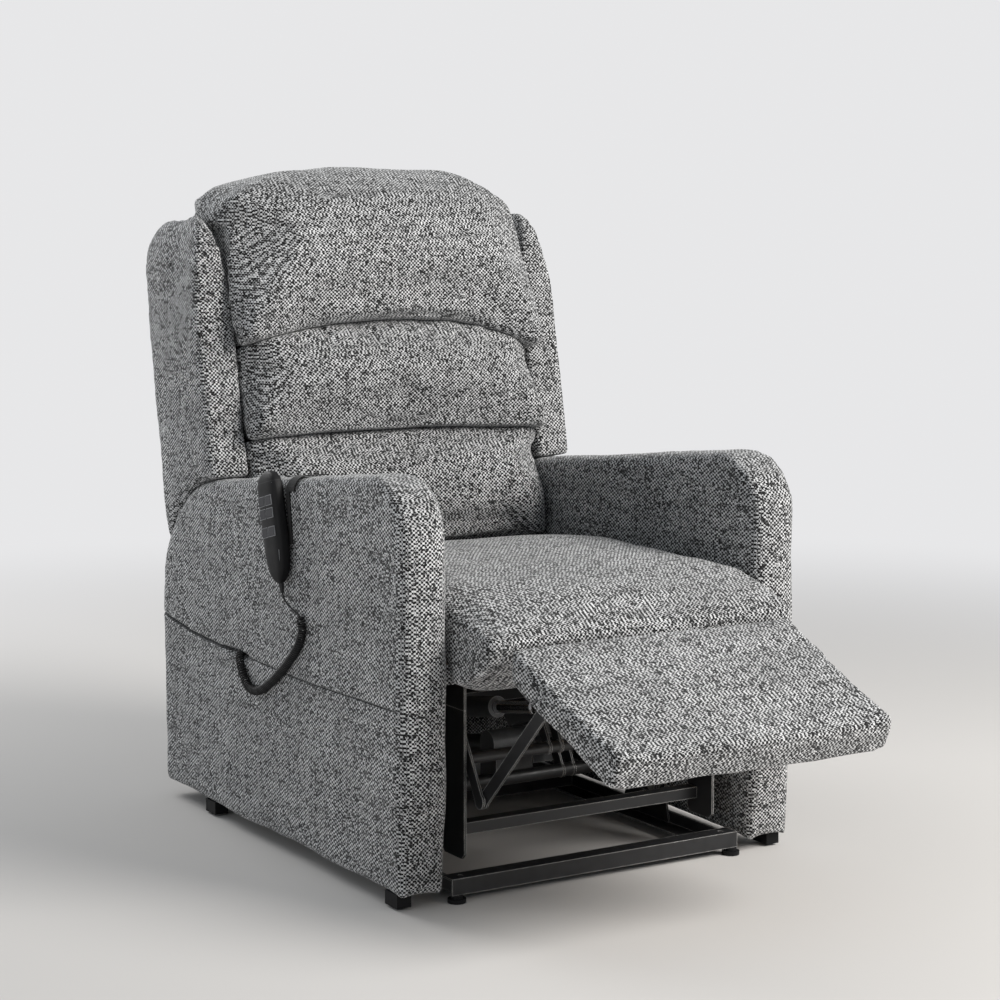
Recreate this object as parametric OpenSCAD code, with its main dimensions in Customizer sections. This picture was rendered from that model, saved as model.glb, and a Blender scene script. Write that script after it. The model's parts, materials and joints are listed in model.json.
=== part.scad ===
// Rise-and-recline armchair with a powered lift base, a reclining back and a fold-out legrest.
// Millimetres, +Z up, the front of the chair towards -Y. The floor is z = 0.

/* [Arms] */
// Width over the outer faces of the two arms
chair_w = 712; // [690:2:820]
// Thickness of one arm
arm_t = 78; // [66:1:90]
// Depth of an arm from its front face to its rear face
arm_depth = 848; // [820:2:880]
// Height of the arm top where it crosses the middle of the arm
arm_top_z = 597; // [585:1:640]
// Rise of the arm top towards the front, in degrees
arm_rise = 6.7; // [3:0.1:8]
// Radius of the arm's upper front corner
arm_front_r = 95; // [70:1:110]
// Radius of the arm's upper rear corner
arm_rear_r = 225; // [200:1:235]
// Clear height under an arm
arm_gap = 24; // [16:1:30]
// Height of the seam between the side panel and the arm pad
seam_z = 297.5; // [280:0.5:310]
// Radius rounding the long top edges of the arm pad
arm_edge_r = 22; // [12:1:30]

/* [Seat] */
// Height of the seat surface beside the arms
seat_z = 452; // [440:1:470]
// Thickness of the seat cushion over its frame
seat_pad_t = 94; // [84:1:110]
// Rise of the seat cushion's crown over its sides
seat_crown = 17; // [6:0.5:17.5]
// Reach of the seat nose in front of the arms
nose_reach = 121.5; // [100:0.5:122]
// Inset of the seat nose from the inner faces of the arms
nose_inset = 13; // [10:1:40]
// Thickness of the seat frame rails
seat_rail_t = 28; // [20:1:34]
// Width of the seat frame rails
seat_rail_w = 45; // [35:1:60]

/* [Backrest] */
// Lean of the back from upright when it isn't reclined, in degrees
back_lean = 11.8; // [8:0.1:14]
// Length of the wings above the recliner pivot
wing_len = 654; // [600:1:680]
// Rise of the head cushion's top over the tops of the wings
head_over = 88; // [60:1:110]
// Thickness of the back from the wing's front edge to its rear face
back_t = 215; // [190:1:225]
// Distance of the back's rear face behind the recliner pivot
back_rear = 125; // [110:1:130]
// Length up the back of the seam between lumbar and middle cushion
crease_low = 278; // [250:1:300]
// Length up the back of the seam between middle and head cushion, at its centre
crease_high = 465; // [430:1:490]
// Rise of the arched upper seam from its ends to its centre
crease_arch = 37; // [10:1:50]
// Rise of the head cushion's top from its ends to its centre
head_arch = 42; // [10:1:60]

/* [Legrest] */
// Slope of the legrest below horizontal in its half open rest position, in degrees
leg_slope = 23.3; // [15:0.1:30]
// Length of the legrest pad
leg_len = 279; // [240:1:285]
// Inset of the legrest pad from the arms at its rear edge
leg_inset_rear = 28; // [24:1:50]
// Inset of the legrest pad from the arms at its front edge
leg_inset_front = 37; // [28:1:60]
// Thickness of the legrest with its board
leg_t = 50; // [40:1:54]
// Thickness of the legrest board
leg_board_t = 12; // [9:1:18]

/* [Base frame] */
// Overhang of the base frame's front bar past its side rails
base_over = 9; // [4:1:16]
// Distance of the front bar's face behind the arms' front faces
base_inset = 12; // [8:1:30]
// Length of the base frame
base_len = 712; // [680:2:740]
// Height of the underside of the base frame above the floor
base_gap = 11; // [9:1:14]
// Height of the angle bars
angle_h = 25; // [20:1:30]
// Width of the angle bars' flanges
angle_w = 30; // [24:1:36]
// Wall of the angle bars
angle_t = 3; // [2.5:0.5:4]
// Radius of a base foot
foot_r = 14; // [10:1:16]

/* [Lift linkage] */
// Thickness of the linkage plates
plate_t = 4; // [3:0.5:4]
// Side gap between neighbouring linkage plates
plate_gap = 3; // [2.6:0.1:3]
// Space for the linkage between a chassis plate and the arm beside it
side_space = 48; // [46:1:56]
// Radius of the linkage pins
pin_r = 8; // [6:0.5:9]
// Radial running clearance of a pin in its bore
run_fit = 0.05; // [0.02:0.01:0.08]
// Half width of the lift links
link_r = 16; // [14:0.5:17]
// Radius of the tube that joins the two front lift links
tube_r = 11; // [8:0.5:12]

/* [Actuators] */
// Radius of an actuator's outer tube
act_tube_r = 17; // [14:0.5:18]
// Radius of an actuator's rod
act_rod_r = 10; // [8:0.5:11]
// Radius of an actuator's eye pins
eye_pin_r = 5; // [4:0.5:6]
// Sideways place of the lift actuator
lift_act_x = 80; // [70:1:90]
// Sideways place of the legrest actuator
leg_act_x = -70; // [-80:1:-60]
// Sideways place of the recline actuator
rec_act_x = -150; // [-160:1:-140]

/* [Handset] */
// Length of the handset
hand_len = 176; // [160:1:190]
// Width of the handset at its button end
hand_w = 62; // [52:1:66]
// Width of the handset at its cord end
hand_tail_w = 26; // [20:1:30]
// Thickness of the handset
hand_t = 24; // [16:0.5:28]
// Lean of the handset from upright, in degrees
hand_lean = 14; // [8:1:24]
// Travel of a handset button
key_travel = 0.9; // [0.5:0.1:1.2]
// Length of a handset button up the handset
key_l = 13; // [10:0.5:14]
// Width of a handset button
key_w = 18; // [12:0.5:20]

/* [Clearances] */
// Gap between upholstered pieces that move past each other
soft_gap = 1.5; // [1:0.1:2]
// Gap between an upholstered piece and what it rests against
seat_fit = 0.3; // [0.2:0.1:0.5]

/* [Hidden] */
$fn = 64;
soft_fn = 24;

// ---- Arms and side panels
arm_out = chair_w / 2;
arm_in = arm_out - arm_t;
arm_y = arm_depth / 2;
plate_x = arm_in - side_space;
nose_half = arm_in - nose_inset;
leg_half_rear = arm_in - leg_inset_rear;
leg_half_front = arm_in - leg_inset_front;
arm_n = 90 - arm_rise;
function arm_line(y) = arm_top_z - y * tan(arm_rise);
arm_front_c = [arm_front_r - arm_y,
               arm_line(arm_front_r - arm_y + arm_front_r * cos(arm_n)) - arm_front_r * sin(arm_n)];
arm_rear_c = [arm_y - arm_rear_r,
              arm_line(arm_y - arm_rear_r + arm_rear_r * cos(arm_n)) - arm_rear_r * sin(arm_n)];

// ---- Lift linkage pivots, [y, z]
base_pivot_f = [-215, 75];
base_pivot_r = [-145, 88];
front_link_v = [254, 10];
rear_link_v = [330, 10];
lift_pin_f = base_pivot_f + front_link_v;
lift_pin_r = base_pivot_r + rear_link_v;
rear_link_play = 1.8;
crank_len = 90;
crank_ang = 60;
crank_pin = base_pivot_f + crank_len * [cos(crank_ang), sin(crank_ang)];
tube_pin = base_pivot_f + crank_len / 2 * [cos(crank_ang), sin(crank_ang)];
bracket_x = plate_x + 3 * plate_gap + 2 * plate_t;
front_link_x = plate_x + plate_gap;
rear_link_x = front_link_x + plate_t + plate_gap;
pin_head_r = pin_r + 3;
pin_head_t = plate_gap - 0.9;

// ---- Chassis
plate_front_y = 32 - arm_y;
plate_low_z = 56;
rail_low_z = 282;
column_w = 66;
rec_pivot = [260, 350];
rec_pin_r = 9;
rec_eye_r = 17;
front_bar_y = plate_front_y + 40;
front_bar_z = 82;
front_bar_h = 18;
seat_base_z = seat_z - seat_pad_t;
rail_z = seat_base_z - seat_rail_t;
rail_clear = 6;
seat_rail_out = arm_in - rail_clear;
seat_front_y = 12 - arm_y;
seat_rear_y = 214;
deck_t = 5;
spacer_r = 12;
cross_y = 0;
cross_z = 205;
cross_s = 20;
rear_tube = [240, 150];

// ---- Legrest linkage pivots, [y, z]
leg_edge = [-arm_y - nose_reach - 2.5, seat_z - 46];
leg_pivot = [plate_front_y + 67, 314];
leg_link1_v = [-98, -163];
leg_link2_v = [-162, 161];
leg_knee = leg_pivot + leg_link1_v;
leg_pin = leg_knee + leg_link2_v;
leg_link_r = 12;
leg_pin_r = 6;
leg_crank = 60;
leg_crank_pin = leg_pivot + leg_crank * leg_link1_v / norm(leg_link1_v);
leg_tube_r = 9;
leg_tube_pin = leg_pivot + 2.05 * leg_crank * leg_link1_v / norm(leg_link1_v);
leg_x1 = plate_x - plate_t - plate_gap;
leg_x2 = leg_x1 - plate_t - plate_gap;
leg_x3 = leg_x2 - plate_t - plate_gap;
leg_u = [-cos(leg_slope), -sin(leg_slope)];
leg_n = [-sin(leg_slope), cos(leg_slope)];

// ---- Backrest
back_x = plate_x - plate_t - plate_gap;
wing_front = back_rear - back_t;
wing_r = 60;
wing_lap = 7;
wing_in = arm_in + wing_lap;
head_len = wing_len + head_over;
cushion_back = 59.7;
rail_y = [60, 110];
rec_lever = [50, -74];
function lean(p) = [p[0] * cos(back_lean) + p[1] * sin(back_lean),
                    p[1] * cos(back_lean) - p[0] * sin(back_lean)] + rec_pivot;
function unlean(q) = let (d = q - rec_pivot) [d[0] * cos(back_lean) - d[1] * sin(back_lean),
                                              d[0] * sin(back_lean) + d[1] * cos(back_lean)];

// ---- The frame's origin is on the floor, midway between the legrest's front and the back's rear
leg_front_y = leg_edge[0] + leg_len * leg_u[0];
back_far_y = lean([back_rear - 6, wing_len + 12])[0];
y0 = -(leg_front_y + back_far_y) / 2;

// ---- Actuator geometry: fixed eye, moving eye, both [y, z]
lift_eye = [290, 60];
leg_eye = [cross_y - 28, cross_z];
rec_eye = [cross_y + 28, cross_z];
rec_rod_pin = rec_pivot + rec_lever;
play_lift = 6.1;
play_leg = 5.8;
play_rec = 3.1;
// Centres of the moving eyes' bores, from the pins that they turn on
lift_bore = [0.1, 5.7];
leg_bore = [1.5, 2.5];
rec_bore = [0.7, -2.5];
motor_r = 22;
motor_axis = [-105, 150];
motor_x = [lift_act_x - 97, lift_act_x - 18];
ear_gap = 8.5;
ear_t = 4;
eye_t = 14;

// ---- Handset and its cord
hand_top = [-27, 611];
hand_dir = [-sin(hand_lean), -cos(hand_lean)];
strap_t = 1.8;
strap_w = 28;
strap_y = -78;
strap_leg = 11;
hand_x = -arm_out - strap_t - 0.5;
hand_tail = hand_top + hand_len * hand_dir;
key_proud = 0.7;
key_clear = 0.3;
key_u = [46, 66, 95];
key_v = 12;
// ...and midway between the +X arm and the face of the handset on the other arm
x0 = (hand_t + key_proud - hand_x - arm_out) / 2;
boot_len = 14;
lead_r = 1.4;
curl_r = 7;
// Cord points, [out from the arm's face, y, z]
lead_pts = [
    [-14.3, -73.2, 425.8], [-14, -76, 415], [-12.5, -83, 409],
    [-10.5, -95, 406], [-9, -107, 403], [-8, -115, 399.5], [-7.6, -119.6, 395.5]];
curl_pts = [
    [-7.6, -120, 395], [-7.6, -126, 386], [-7.6, -127.5, 373], [-7.6, -122, 359],
    [-7.6, -112, 345], [-7.6, -95, 328.5], [-7.6, -74, 311], [-7.6, -50, 294],
    [-7.6, -24, 277], [-7.6, 0, 263.5], [-7.6, 22, 254], [-7.6, 42, 249.5],
    [-7.6, 60, 251], [-7.6, 75, 259], [-7.6, 86, 272], [-7.4, 95, 285],
    [-5, 103, 294], [0.5, 109, 299], [7, 112.5, 301]];
pocket = [40, 190];
pocket_z = [285, 310];
pocket_d = 18;

// ---- Helpers
module placed() { translate([x0, y0, 0]) children(); }
module both() {
    children();
    mirror([1, 0, 0]) children();
}
// A side view shape, drawn as [y, z], extruded along X from x to x + w
module side(x, w) { translate([x, 0, 0]) rotate([90, 0, 90]) linear_extrude(w) children(); }
// A front view shape, drawn as [x, z], extruded along Y from y to y + w
module front(y, w) { translate([0, y + w, 0]) rotate([90, 0, 0]) linear_extrude(w) children(); }
module x_pin(r, x, w, p) { translate([x, p[0], p[1]]) rotate([0, 90, 0]) cylinder(r = r, h = w); }
module leaning() {
    translate([0, rec_pivot[0], rec_pivot[1]]) rotate([-back_lean, 0, 0]) children();
}
function arc(c, r, a0, a1, n = 12) =
    [for (i = [0 : n]) let (a = a0 + (a1 - a0) * i / n) c + r * [cos(a), sin(a)]];
// Bar between two points of a side view, with round eyes that are a little wider than the bar
module bar2d(p, q, r, waist = 1.5) {
    d = q - p;
    translate(p) circle(r);
    translate(q) circle(r);
    translate(p) rotate(atan2(d[1], d[0])) translate([0, waist - r]) square([norm(d), 2 * (r - waist)]);
}
module box(x, y, z) { translate([x[0], y[0], z[0]]) cube([x[1] - x[0], y[1] - y[0], z[1] - z[0]]); }

// ---- Base frame
base_face_y = -arm_y + base_inset;
base_end_y = base_face_y + base_len;
base_top = base_gap + angle_h;
rail_x = bracket_x + angle_t;
rail_h = angle_h - angle_t;
centre_bar_y = 50;
base_half = rail_x + angle_t + base_over;

// An angle bar across the chair: an upright leg, and a flange on top towards the rear (1) or front (-1)
module angle_bar(half, y, z, h, flange, dir = 1) {
    box([-half, half], dir > 0 ? [y, y + angle_t] : [y - angle_t, y], [z, z + h]);
    box([-half, half], dir > 0 ? [y, y + flange] : [y - flange, y], [z + h - angle_t, z + h]);
}
module base_front_bar() {
    color("dimgray") placed() difference() {
        angle_bar(base_half, base_face_y, base_gap, angle_h, angle_w);
        for (s = [-1, 1]) translate([s * (rail_x - 10), base_face_y + angle_w / 2, base_top - angle_t - 1])
            cylinder(r = 4, h = angle_t + 2);
    }
}
module cross_bar(y, dir) {
    angle_bar(rail_x, y, base_gap + angle_t, angle_h - angle_t, angle_w, dir);
}
module base_cross_bars() {
    color("dimgray") placed() {
        cross_bar(centre_bar_y, 1);
        cross_bar(base_end_y, -1);
        for (s = [-1, 1]) difference() {
            side(lift_act_x + (s > 0 ? ear_gap : -ear_gap - ear_t), ear_t) {
                bar2d(lift_eye, [lift_eye[0], base_top + 6], 10);
                translate([lift_eye[0] - 10, base_top]) square([10, 20]);
            }
            box([lift_act_x - 30, lift_act_x + 30], [lift_eye[0] - 30, lift_eye[0] + 30], [0, base_top]);
        }
        x_pin(eye_pin_r, lift_act_x - ear_gap - ear_t - 2, 2 * (ear_gap + ear_t + 2), lift_eye);
    }
}
module base_rails() {
    rail_y = [base_face_y + angle_t, base_end_y - angle_t];
    color("dimgray") placed() both() {
        box([rail_x, rail_x + angle_t], rail_y, [base_gap, base_gap + rail_h]);
        box([rail_x + angle_t - 38, rail_x + angle_t], rail_y, [base_gap, base_gap + angle_t]);
    }
}
module base_feet() {
    color("black") placed() both() for (y = [base_face_y + 4, base_end_y - foot_r - 4])
        translate([rail_x + 2, y, 0]) {
            cylinder(r = foot_r, h = 6);
            translate([0, 0, 6]) cylinder(r = foot_r - 5, h = base_gap - 6);
        }
}
module base_pivot_brackets() {
    color("black") placed() both() {
        side(bracket_x, rail_x - bracket_x) difference() {
            union() {
                translate(base_pivot_f) circle(18);
                translate(base_pivot_r) circle(18);
                polygon([[-245, base_gap + angle_t], [-112, base_gap + angle_t], [-127, 86],
                         [-140, 105], [-160, 100], [-205, 90], [-228, 88]]);
            }
            translate([-180, 56]) circle(12);
        }
    }
}
// A pin from x0 to x1 with a head each side of the link that turns on it
module linkage_pin(x0, x1, link_x, head_r, shaft_r, p) {
    x_pin(shaft_r, x0, x1 - x0, p);
    x_pin(head_r, link_x - 0.3 - pin_head_t, pin_head_t, p);
    x_pin(head_r, link_x + plate_t + 0.3, pin_head_t, p);
}
module base_pins() {
    color("silver") placed() both() {
        linkage_pin(front_link_x - 0.3 - pin_head_t, bracket_x, front_link_x, pin_head_r, pin_r, base_pivot_f);
        linkage_pin(rear_link_x - 0.3 - pin_head_t, bracket_x, rear_link_x, pin_head_r, pin_r, base_pivot_r);
    }
}

// ---- Lift linkage
module front_lift_links() {
    color("black") placed() both() side(front_link_x, plate_t) difference() {
        union() {
            bar2d(base_pivot_f, lift_pin_f, link_r);
            bar2d(base_pivot_f, crank_pin, link_r);
        }
        translate(base_pivot_f) circle(pin_r + run_fit);
        translate(lift_pin_f) circle(pin_r + run_fit);
        translate(base_pivot_f + 0.45 * front_link_v) circle(7);
        translate(base_pivot_f + 0.7 * front_link_v) circle(7);
    }
}
module lift_torque_tube() {
    color("dimgray") placed() {
        difference() {
            x_pin(tube_r, -front_link_x, 2 * front_link_x, tube_pin);
            x_pin(tube_r - 2.5, -front_link_x - 1, 2 * front_link_x + 2, tube_pin);
        }
        for (x = [lift_act_x - ear_gap - ear_t, lift_act_x + ear_gap]) side(x, ear_t) difference() {
            bar2d(tube_pin, crank_pin, 12);
            translate(tube_pin) circle(tube_r - 1);
        }
        x_pin(eye_pin_r, lift_act_x - ear_gap - ear_t - 2, 2 * (ear_gap + ear_t + 2), crank_pin);
    }
}
module rear_lift_links() {
    color("black") placed() both() side(rear_link_x, plate_t) difference() {
        bar2d(base_pivot_r, lift_pin_r, link_r);
        translate(base_pivot_r) circle(pin_r + run_fit);
        translate(lift_pin_r) circle(pin_r + rear_link_play);
        for (k = [0.3, 0.5, 0.7]) translate(base_pivot_r + k * rear_link_v) circle(7);
    }
}

// ---- Chassis
module chassis_side() {
    placed() both() side(plate_x - plate_t, plate_t) children();
}
module chassis_rails() {
    color("black") chassis_side() {
        translate([plate_front_y, rail_low_z]) square([rec_pivot[0] + rec_eye_r - 5 - plate_front_y, rail_z - rail_low_z]);
        bar2d(rec_pivot, [rec_pivot[0], rail_low_z + 20], rec_eye_r - 1);
    }
}
module chassis_columns() {
    color("black") chassis_side() polygon([
        [plate_front_y, plate_low_z + 8], [plate_front_y + 8, plate_low_z],
        [plate_front_y + column_w - 8, plate_low_z], [plate_front_y + column_w, plate_low_z + 8],
        [plate_front_y + column_w, rail_low_z], [plate_front_y, rail_low_z]]);
}
module chassis_lift_plates() {
    low = plate_low_z + 4;
    color("black") chassis_side() polygon([
        [cross_y - cross_s, rail_low_z], [cross_y - cross_s, cross_z - cross_s],
        [lift_pin_f[0] - 20, low + 10], [lift_pin_f[0] - 10, low], [lift_pin_r[0] + 10, low],
        [lift_pin_r[0] + 20, low + 10], [rear_tube[0] + 22, rear_tube[1] - 24],
        [rear_tube[0] + 22, rail_low_z]]);
}
module chassis_pins() {
    color("silver") placed() both() {
        linkage_pin(plate_x, front_link_x + plate_t + 0.3, front_link_x, pin_head_r, pin_r, lift_pin_f);
        linkage_pin(plate_x, rear_link_x + plate_t + 0.3, rear_link_x, pin_head_r, pin_r, lift_pin_r);
        inner = leg_x1 - plate_t;
        end = inner - 0.3 - pin_head_t;
        linkage_pin(end, plate_x - plate_t, inner, leg_pin_r + 3, leg_pin_r, leg_pivot);
        linkage_pin(end, plate_x - plate_t, inner, rec_pin_r + 4, rec_pin_r, rec_pivot);
    }
}
module chassis_front_bar() {
    color("dimgray") placed() angle_bar(plate_x - plate_t, front_bar_y, front_bar_z, front_bar_h, 24);
}
module chassis_rear_tube() {
    color("dimgray") placed() difference() {
        x_pin(12, -plate_x + plate_t, 2 * (plate_x - plate_t), rear_tube);
        x_pin(9.5, -plate_x + plate_t - 1, 2 * (plate_x - plate_t) + 2, rear_tube);
    }
}
module ears(x, eye, dir) {
    for (e = [x - ear_gap - ear_t, x + ear_gap]) side(e, ear_t) difference() {
        union() {
            translate(eye) circle(11);
            translate([dir > 0 ? cross_y + cross_s / 2 : eye[0], eye[1] - 11])
                square([abs(eye[0] - cross_y) - cross_s / 2, 22]);
        }
    }
    x_pin(eye_pin_r, x - ear_gap - ear_t - 2, 2 * (ear_gap + ear_t + 2), eye);
}
module motor_crossbar() {
    color("dimgray") placed() {
        box([-plate_x + plate_t, plate_x - plate_t], [cross_y - cross_s / 2, cross_y + cross_s / 2],
            [cross_z - cross_s / 2, cross_z + cross_s / 2]);
        ears(leg_act_x, leg_eye, -1);
        ears(rec_act_x, rec_eye, 1);
    }
}
module seat_side_rails() {
    color("burlywood") placed() both() box([seat_rail_out - seat_rail_w, seat_rail_out],
        [seat_front_y, seat_rear_y], [rail_z, seat_base_z]);
}
module seat_cross_rails() {
    inner = seat_rail_out - seat_rail_w;
    color("burlywood") placed() for (y = [seat_front_y, seat_rear_y - seat_rail_w])
        box([-inner, inner], [y, y + seat_rail_w], [rail_z, seat_base_z]);
}
module seat_deck() {
    inner = seat_rail_out - seat_rail_w;
    color("dimgray") placed()
        box([-inner, inner], [seat_front_y + seat_rail_w, seat_rear_y - seat_rail_w],
            [seat_base_z - deck_t, seat_base_z]);
}
module seat_outline() {
    nose_y = -arm_y - nose_reach;
    polygon(concat(
        [[seat_rear_y + 21, seat_base_z], [seat_rear_y + 21, seat_z - 14]],
        arc([seat_rear_y + 9, seat_z - 12], 12, 0, 90, 4),
        [[160, seat_z], [105, seat_z + seat_crown * 0.6], [40, seat_z + seat_crown],
         [-240, seat_z + seat_crown], [-320, seat_z + seat_crown * 0.8],
         [-385, seat_z + seat_crown * 0.35], [-440, seat_z - 7], [-490, seat_z - 21],
         [-522, seat_z - 34], [nose_y, seat_z - 48], [nose_y + 3, seat_z - 56],
         [nose_y + 17, seat_z - 88], [nose_y + 42, seat_z - 106], [-460, 330],
         [seat_front_y - 12, 326], [seat_front_y - 1, 326], [seat_front_y - 1, seat_base_z]]));
}
module seat_plan() {
    half = arm_in - 3;
    polygon([[-half, seat_rear_y + 21], [-half, -arm_y + 60], [-nose_half, -arm_y - 10],
             [-nose_half, -arm_y - nose_reach + 14], [-nose_half + 14, -arm_y - nose_reach],
             [nose_half - 14, -arm_y - nose_reach], [nose_half, -arm_y - nose_reach + 14],
             [nose_half, -arm_y - 10], [half, -arm_y + 60], [half, seat_rear_y + 21]]);
}
// The crown of the seat cushion, seen from the front
module seat_arch() {
    half = arm_in - 3;
    polygon(concat([[-half, 300], [half, 300]],
        [for (k = [1, 0.9, 0.72, 0.5, 0.25, -0.25, -0.5, -0.72, -0.9, -1])
            [half * k, seat_z + seat_crown * sqrt(1 - k * k)]]));
}
module seat_cushion() {
    color("gray") placed() intersection() {
        side(-arm_in, 2 * arm_in) seat_outline();
        front(-600, 900) seat_arch();
        translate([0, 0, 300]) linear_extrude(200) seat_plan();
    }
}

// ---- Arms
module arm_outline(g = 0) {
    polygon(concat(
        [[-arm_y - g, arm_gap]],
        arc(arm_front_c, arm_front_r + g, 180, arm_n, 10),
        arc(arm_rear_c, arm_rear_r + g, arm_n, 0, 14),
        [[arm_y + g, arm_gap]]));
}
// The opening in the seam that the handset cord goes into, in the -X arm only
module cord_pocket() {
    box([-arm_out - 1, -arm_out + pocket_d], pocket, pocket_z);
}
module side_panel() {
    intersection() {
        side(arm_in, arm_t) arm_outline();
        box([0, arm_out], [-arm_y, arm_y], [arm_gap, seam_z]);
    }
}
module side_panel_left() { color("gray") placed() side_panel(); }
module side_panel_right() {
    color("gray") placed() difference() {
        mirror([1, 0, 0]) side_panel();
        cord_pocket();
    }
}
module arm_edge_cut() {
    for (s = [0, 1]) translate([s ? arm_out - arm_edge_r : arm_in + arm_edge_r, 0, 0])
        mirror([s ? 0 : 1, 0, 0]) rotate([-arm_rise, 0, 0])
            translate([0, -arm_depth, arm_top_z * cos(arm_rise) - arm_edge_r]) difference() {
                cube([arm_edge_r + 1, 2 * arm_depth, arm_edge_r + 1]);
                rotate([-90, 0, 0]) cylinder(r = arm_edge_r, h = 2 * arm_depth, $fn = soft_fn);
            }
}
module arm_pad() {
    difference() {
        intersection() {
            side(arm_in, arm_t) arm_outline();
            box([0, arm_out], [-arm_y, arm_y], [seam_z, arm_top_z + 100]);
        }
        arm_edge_cut();
    }
}
module arm_pad_left() { color("gray") placed() arm_pad(); }
module arm_pad_right() {
    color("gray") placed() difference() {
        mirror([1, 0, 0]) arm_pad();
        cord_pocket();
    }
}
module arm_spacers() {
    color("dimgray") placed() both() for (y = [-300, -60, 180])
        x_pin(spacer_r, plate_x, side_space, [y, rail_low_z + spacer_r + 4]);
}
module arm_glides() {
    color("black") placed() both() for (y = [20 - arm_y, arm_y - 197])
        box([arm_out - 29, arm_out - 5], [y, y + 37], [3, arm_gap]);
}
module rear_valance() {
    color("gray") placed() box([-arm_in + seat_fit, arm_in - seat_fit], [arm_y - 44, arm_y - 32], [60, 272]);
}
module control_box() {
    box_end = plate_x - plate_t - 26;
    color("black") placed() difference() {
        box([box_end - 90, box_end], [-42, 52], [cross_z + cross_s / 2, cross_z + cross_s / 2 + 42]);
        box([box_end - 60, box_end - 35], [40, 53], [cross_z + 20, cross_z + 38]);
    }
}

// ---- Backrest, in a frame at the recliner pivot that leans with the back
back_half = arm_in - 6;
module back_side_rails() {
    color("burlywood") placed() leaning() both() box([back_half - 32, back_half], rail_y, [-55, wing_len - 30]);
}
module back_cross_rails() {
    low = back_x - plate_t - seat_fit;
    depth = [rail_y[0] + 15, rail_y[1]];
    color("burlywood") placed() leaning() {
        box([-low, low], depth, [24, 56]);
        for (z = [250, wing_len - 70]) box([32 - back_half, back_half - 32], depth, [z, z + 40]);
    }
}
module recliner_brackets() {
    color("black") placed() both() leaning() {
        side(back_x - plate_t, plate_t) difference() {
            union() {
                circle(rec_eye_r);
                polygon([[-10, 12], [rail_y[0] + 2, 60], [rail_y[1], 60], [rail_y[1], -12], [8, -13]]);
            }
            circle(rec_pin_r + run_fit);
        }
        box([back_x, back_half - 32], [rail_y[0] + 2, rail_y[1]], [0, 56]);
    }
}
// Lever of the recline actuator, on a cross tube between the recliner brackets
module recline_lever() {
    color("black") placed() {
        tube = lean([rail_y[1] - 14, 8]);
        x_pin(10, -back_x + plate_t, 2 * (back_x - plate_t), tube);
        for (x = [rec_act_x - ear_gap - ear_t, rec_act_x + ear_gap]) side(x, ear_t)
            bar2d(tube, rec_rod_pin, 12);
        x_pin(eye_pin_r, rec_act_x - ear_gap - ear_t - 2, 2 * (ear_gap + ear_t + 2), rec_rod_pin);
    }
}
module back_panel() {
    color("gray") placed() leaning() {
        box([-arm_in + 4, arm_in - 4], [rail_y[1] + seat_fit, back_rear], [-70, 250]);
        box([-wing_in + seat_fit, wing_in - seat_fit], [rail_y[1] + seat_fit, back_rear],
            [250, wing_len - 30]);
    }
}
module wing_outline() {
    low = 60;
    difference() {
        polygon(concat(
            [[wing_front, low]],
            arc([wing_front + wing_r, wing_len - wing_r], wing_r, 180, 90, 8),
            arc([back_rear - wing_r, wing_len - wing_r], wing_r, 90, 0, 8),
            [[back_rear, low]]));
        rotate(back_lean) translate(-rec_pivot) arm_outline(soft_gap);
    }
}
// A wing seen from the front, its top rounded on both sides
module wing_face() {
    w = arm_out - wing_in;
    polygon([[wing_in, 50], [arm_out, 50], [arm_out, wing_len - 160], [arm_out - 6, wing_len - 90],
             [arm_out - 16, wing_len - 44], [arm_out - w * 0.4, wing_len - 8], [arm_out - w * 0.5, wing_len + 1],
             [arm_out - w * 0.6, wing_len + 1], [wing_in + w * 0.36, wing_len - 22],
             [wing_in + w * 0.16, wing_len - 72], [wing_in, wing_len - 150]]);
}
module wing() {
    leaning() intersection() {
        side(wing_in, arm_out - wing_in) wing_outline();
        front(-250, 400) wing_face();
    }
}
module wing_left() { color("gray") placed() wing(); }
module wing_right() { color("gray") placed() mirror([1, 0, 0]) wing(); }
// Arched seam lines of the back cushions, seen from the front
function arch(z, rise, n = 10) = let (w = wing_in - 2, r = (w * w + rise * rise) / (2 * rise),
    a = asin(w / r)) [for (i = [0 : n]) let (t = -a + 2 * a * i / n) [r * sin(t), z - r + r * cos(t)]];
// A back cushion seen from above: its front corners rounded where it swells out past the wings
module cushion_plan(face, rear_cut) {
    w = wing_in - 2;
    turn = max(wing_front - 4, face + 48);
    polygon([[-w, turn], [-w + 10, face + 34], [-w + 30, face + 12], [-w + 62, face - 1],
             [w - 62, face - 1], [w - 30, face + 12], [w - 10, face + 34], [w, turn],
             [w, 20], [w - rear_cut * 0.3, 75], [w - rear_cut, back_rear + 1],
             [rear_cut - w, back_rear + 1], [rear_cut * 0.3 - w, 75], [-w, 20]]);
}
module cushion(zlow, low_rise, zhigh, high_rise, outline, face, rear_cut = 0) {
    w = wing_in - 2;
    low = low_rise > 0 ? arch(zlow, low_rise) : [[-w, zlow], [w, zlow]];
    high = high_rise > 0 ? arch(zhigh, high_rise) : [[-w, zhigh], [w, zhigh]];
    flipped = [for (i = [len(high) - 1 : -1 : 0]) high[i]];
    placed() leaning() intersection() {
        side(-w, 2 * w) polygon(outline);
        front(-250, 400) polygon(concat(low, flipped));
        translate([0, 0, 20]) linear_extrude(head_len) cushion_plan(face, rear_cut);
    }
}
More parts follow.
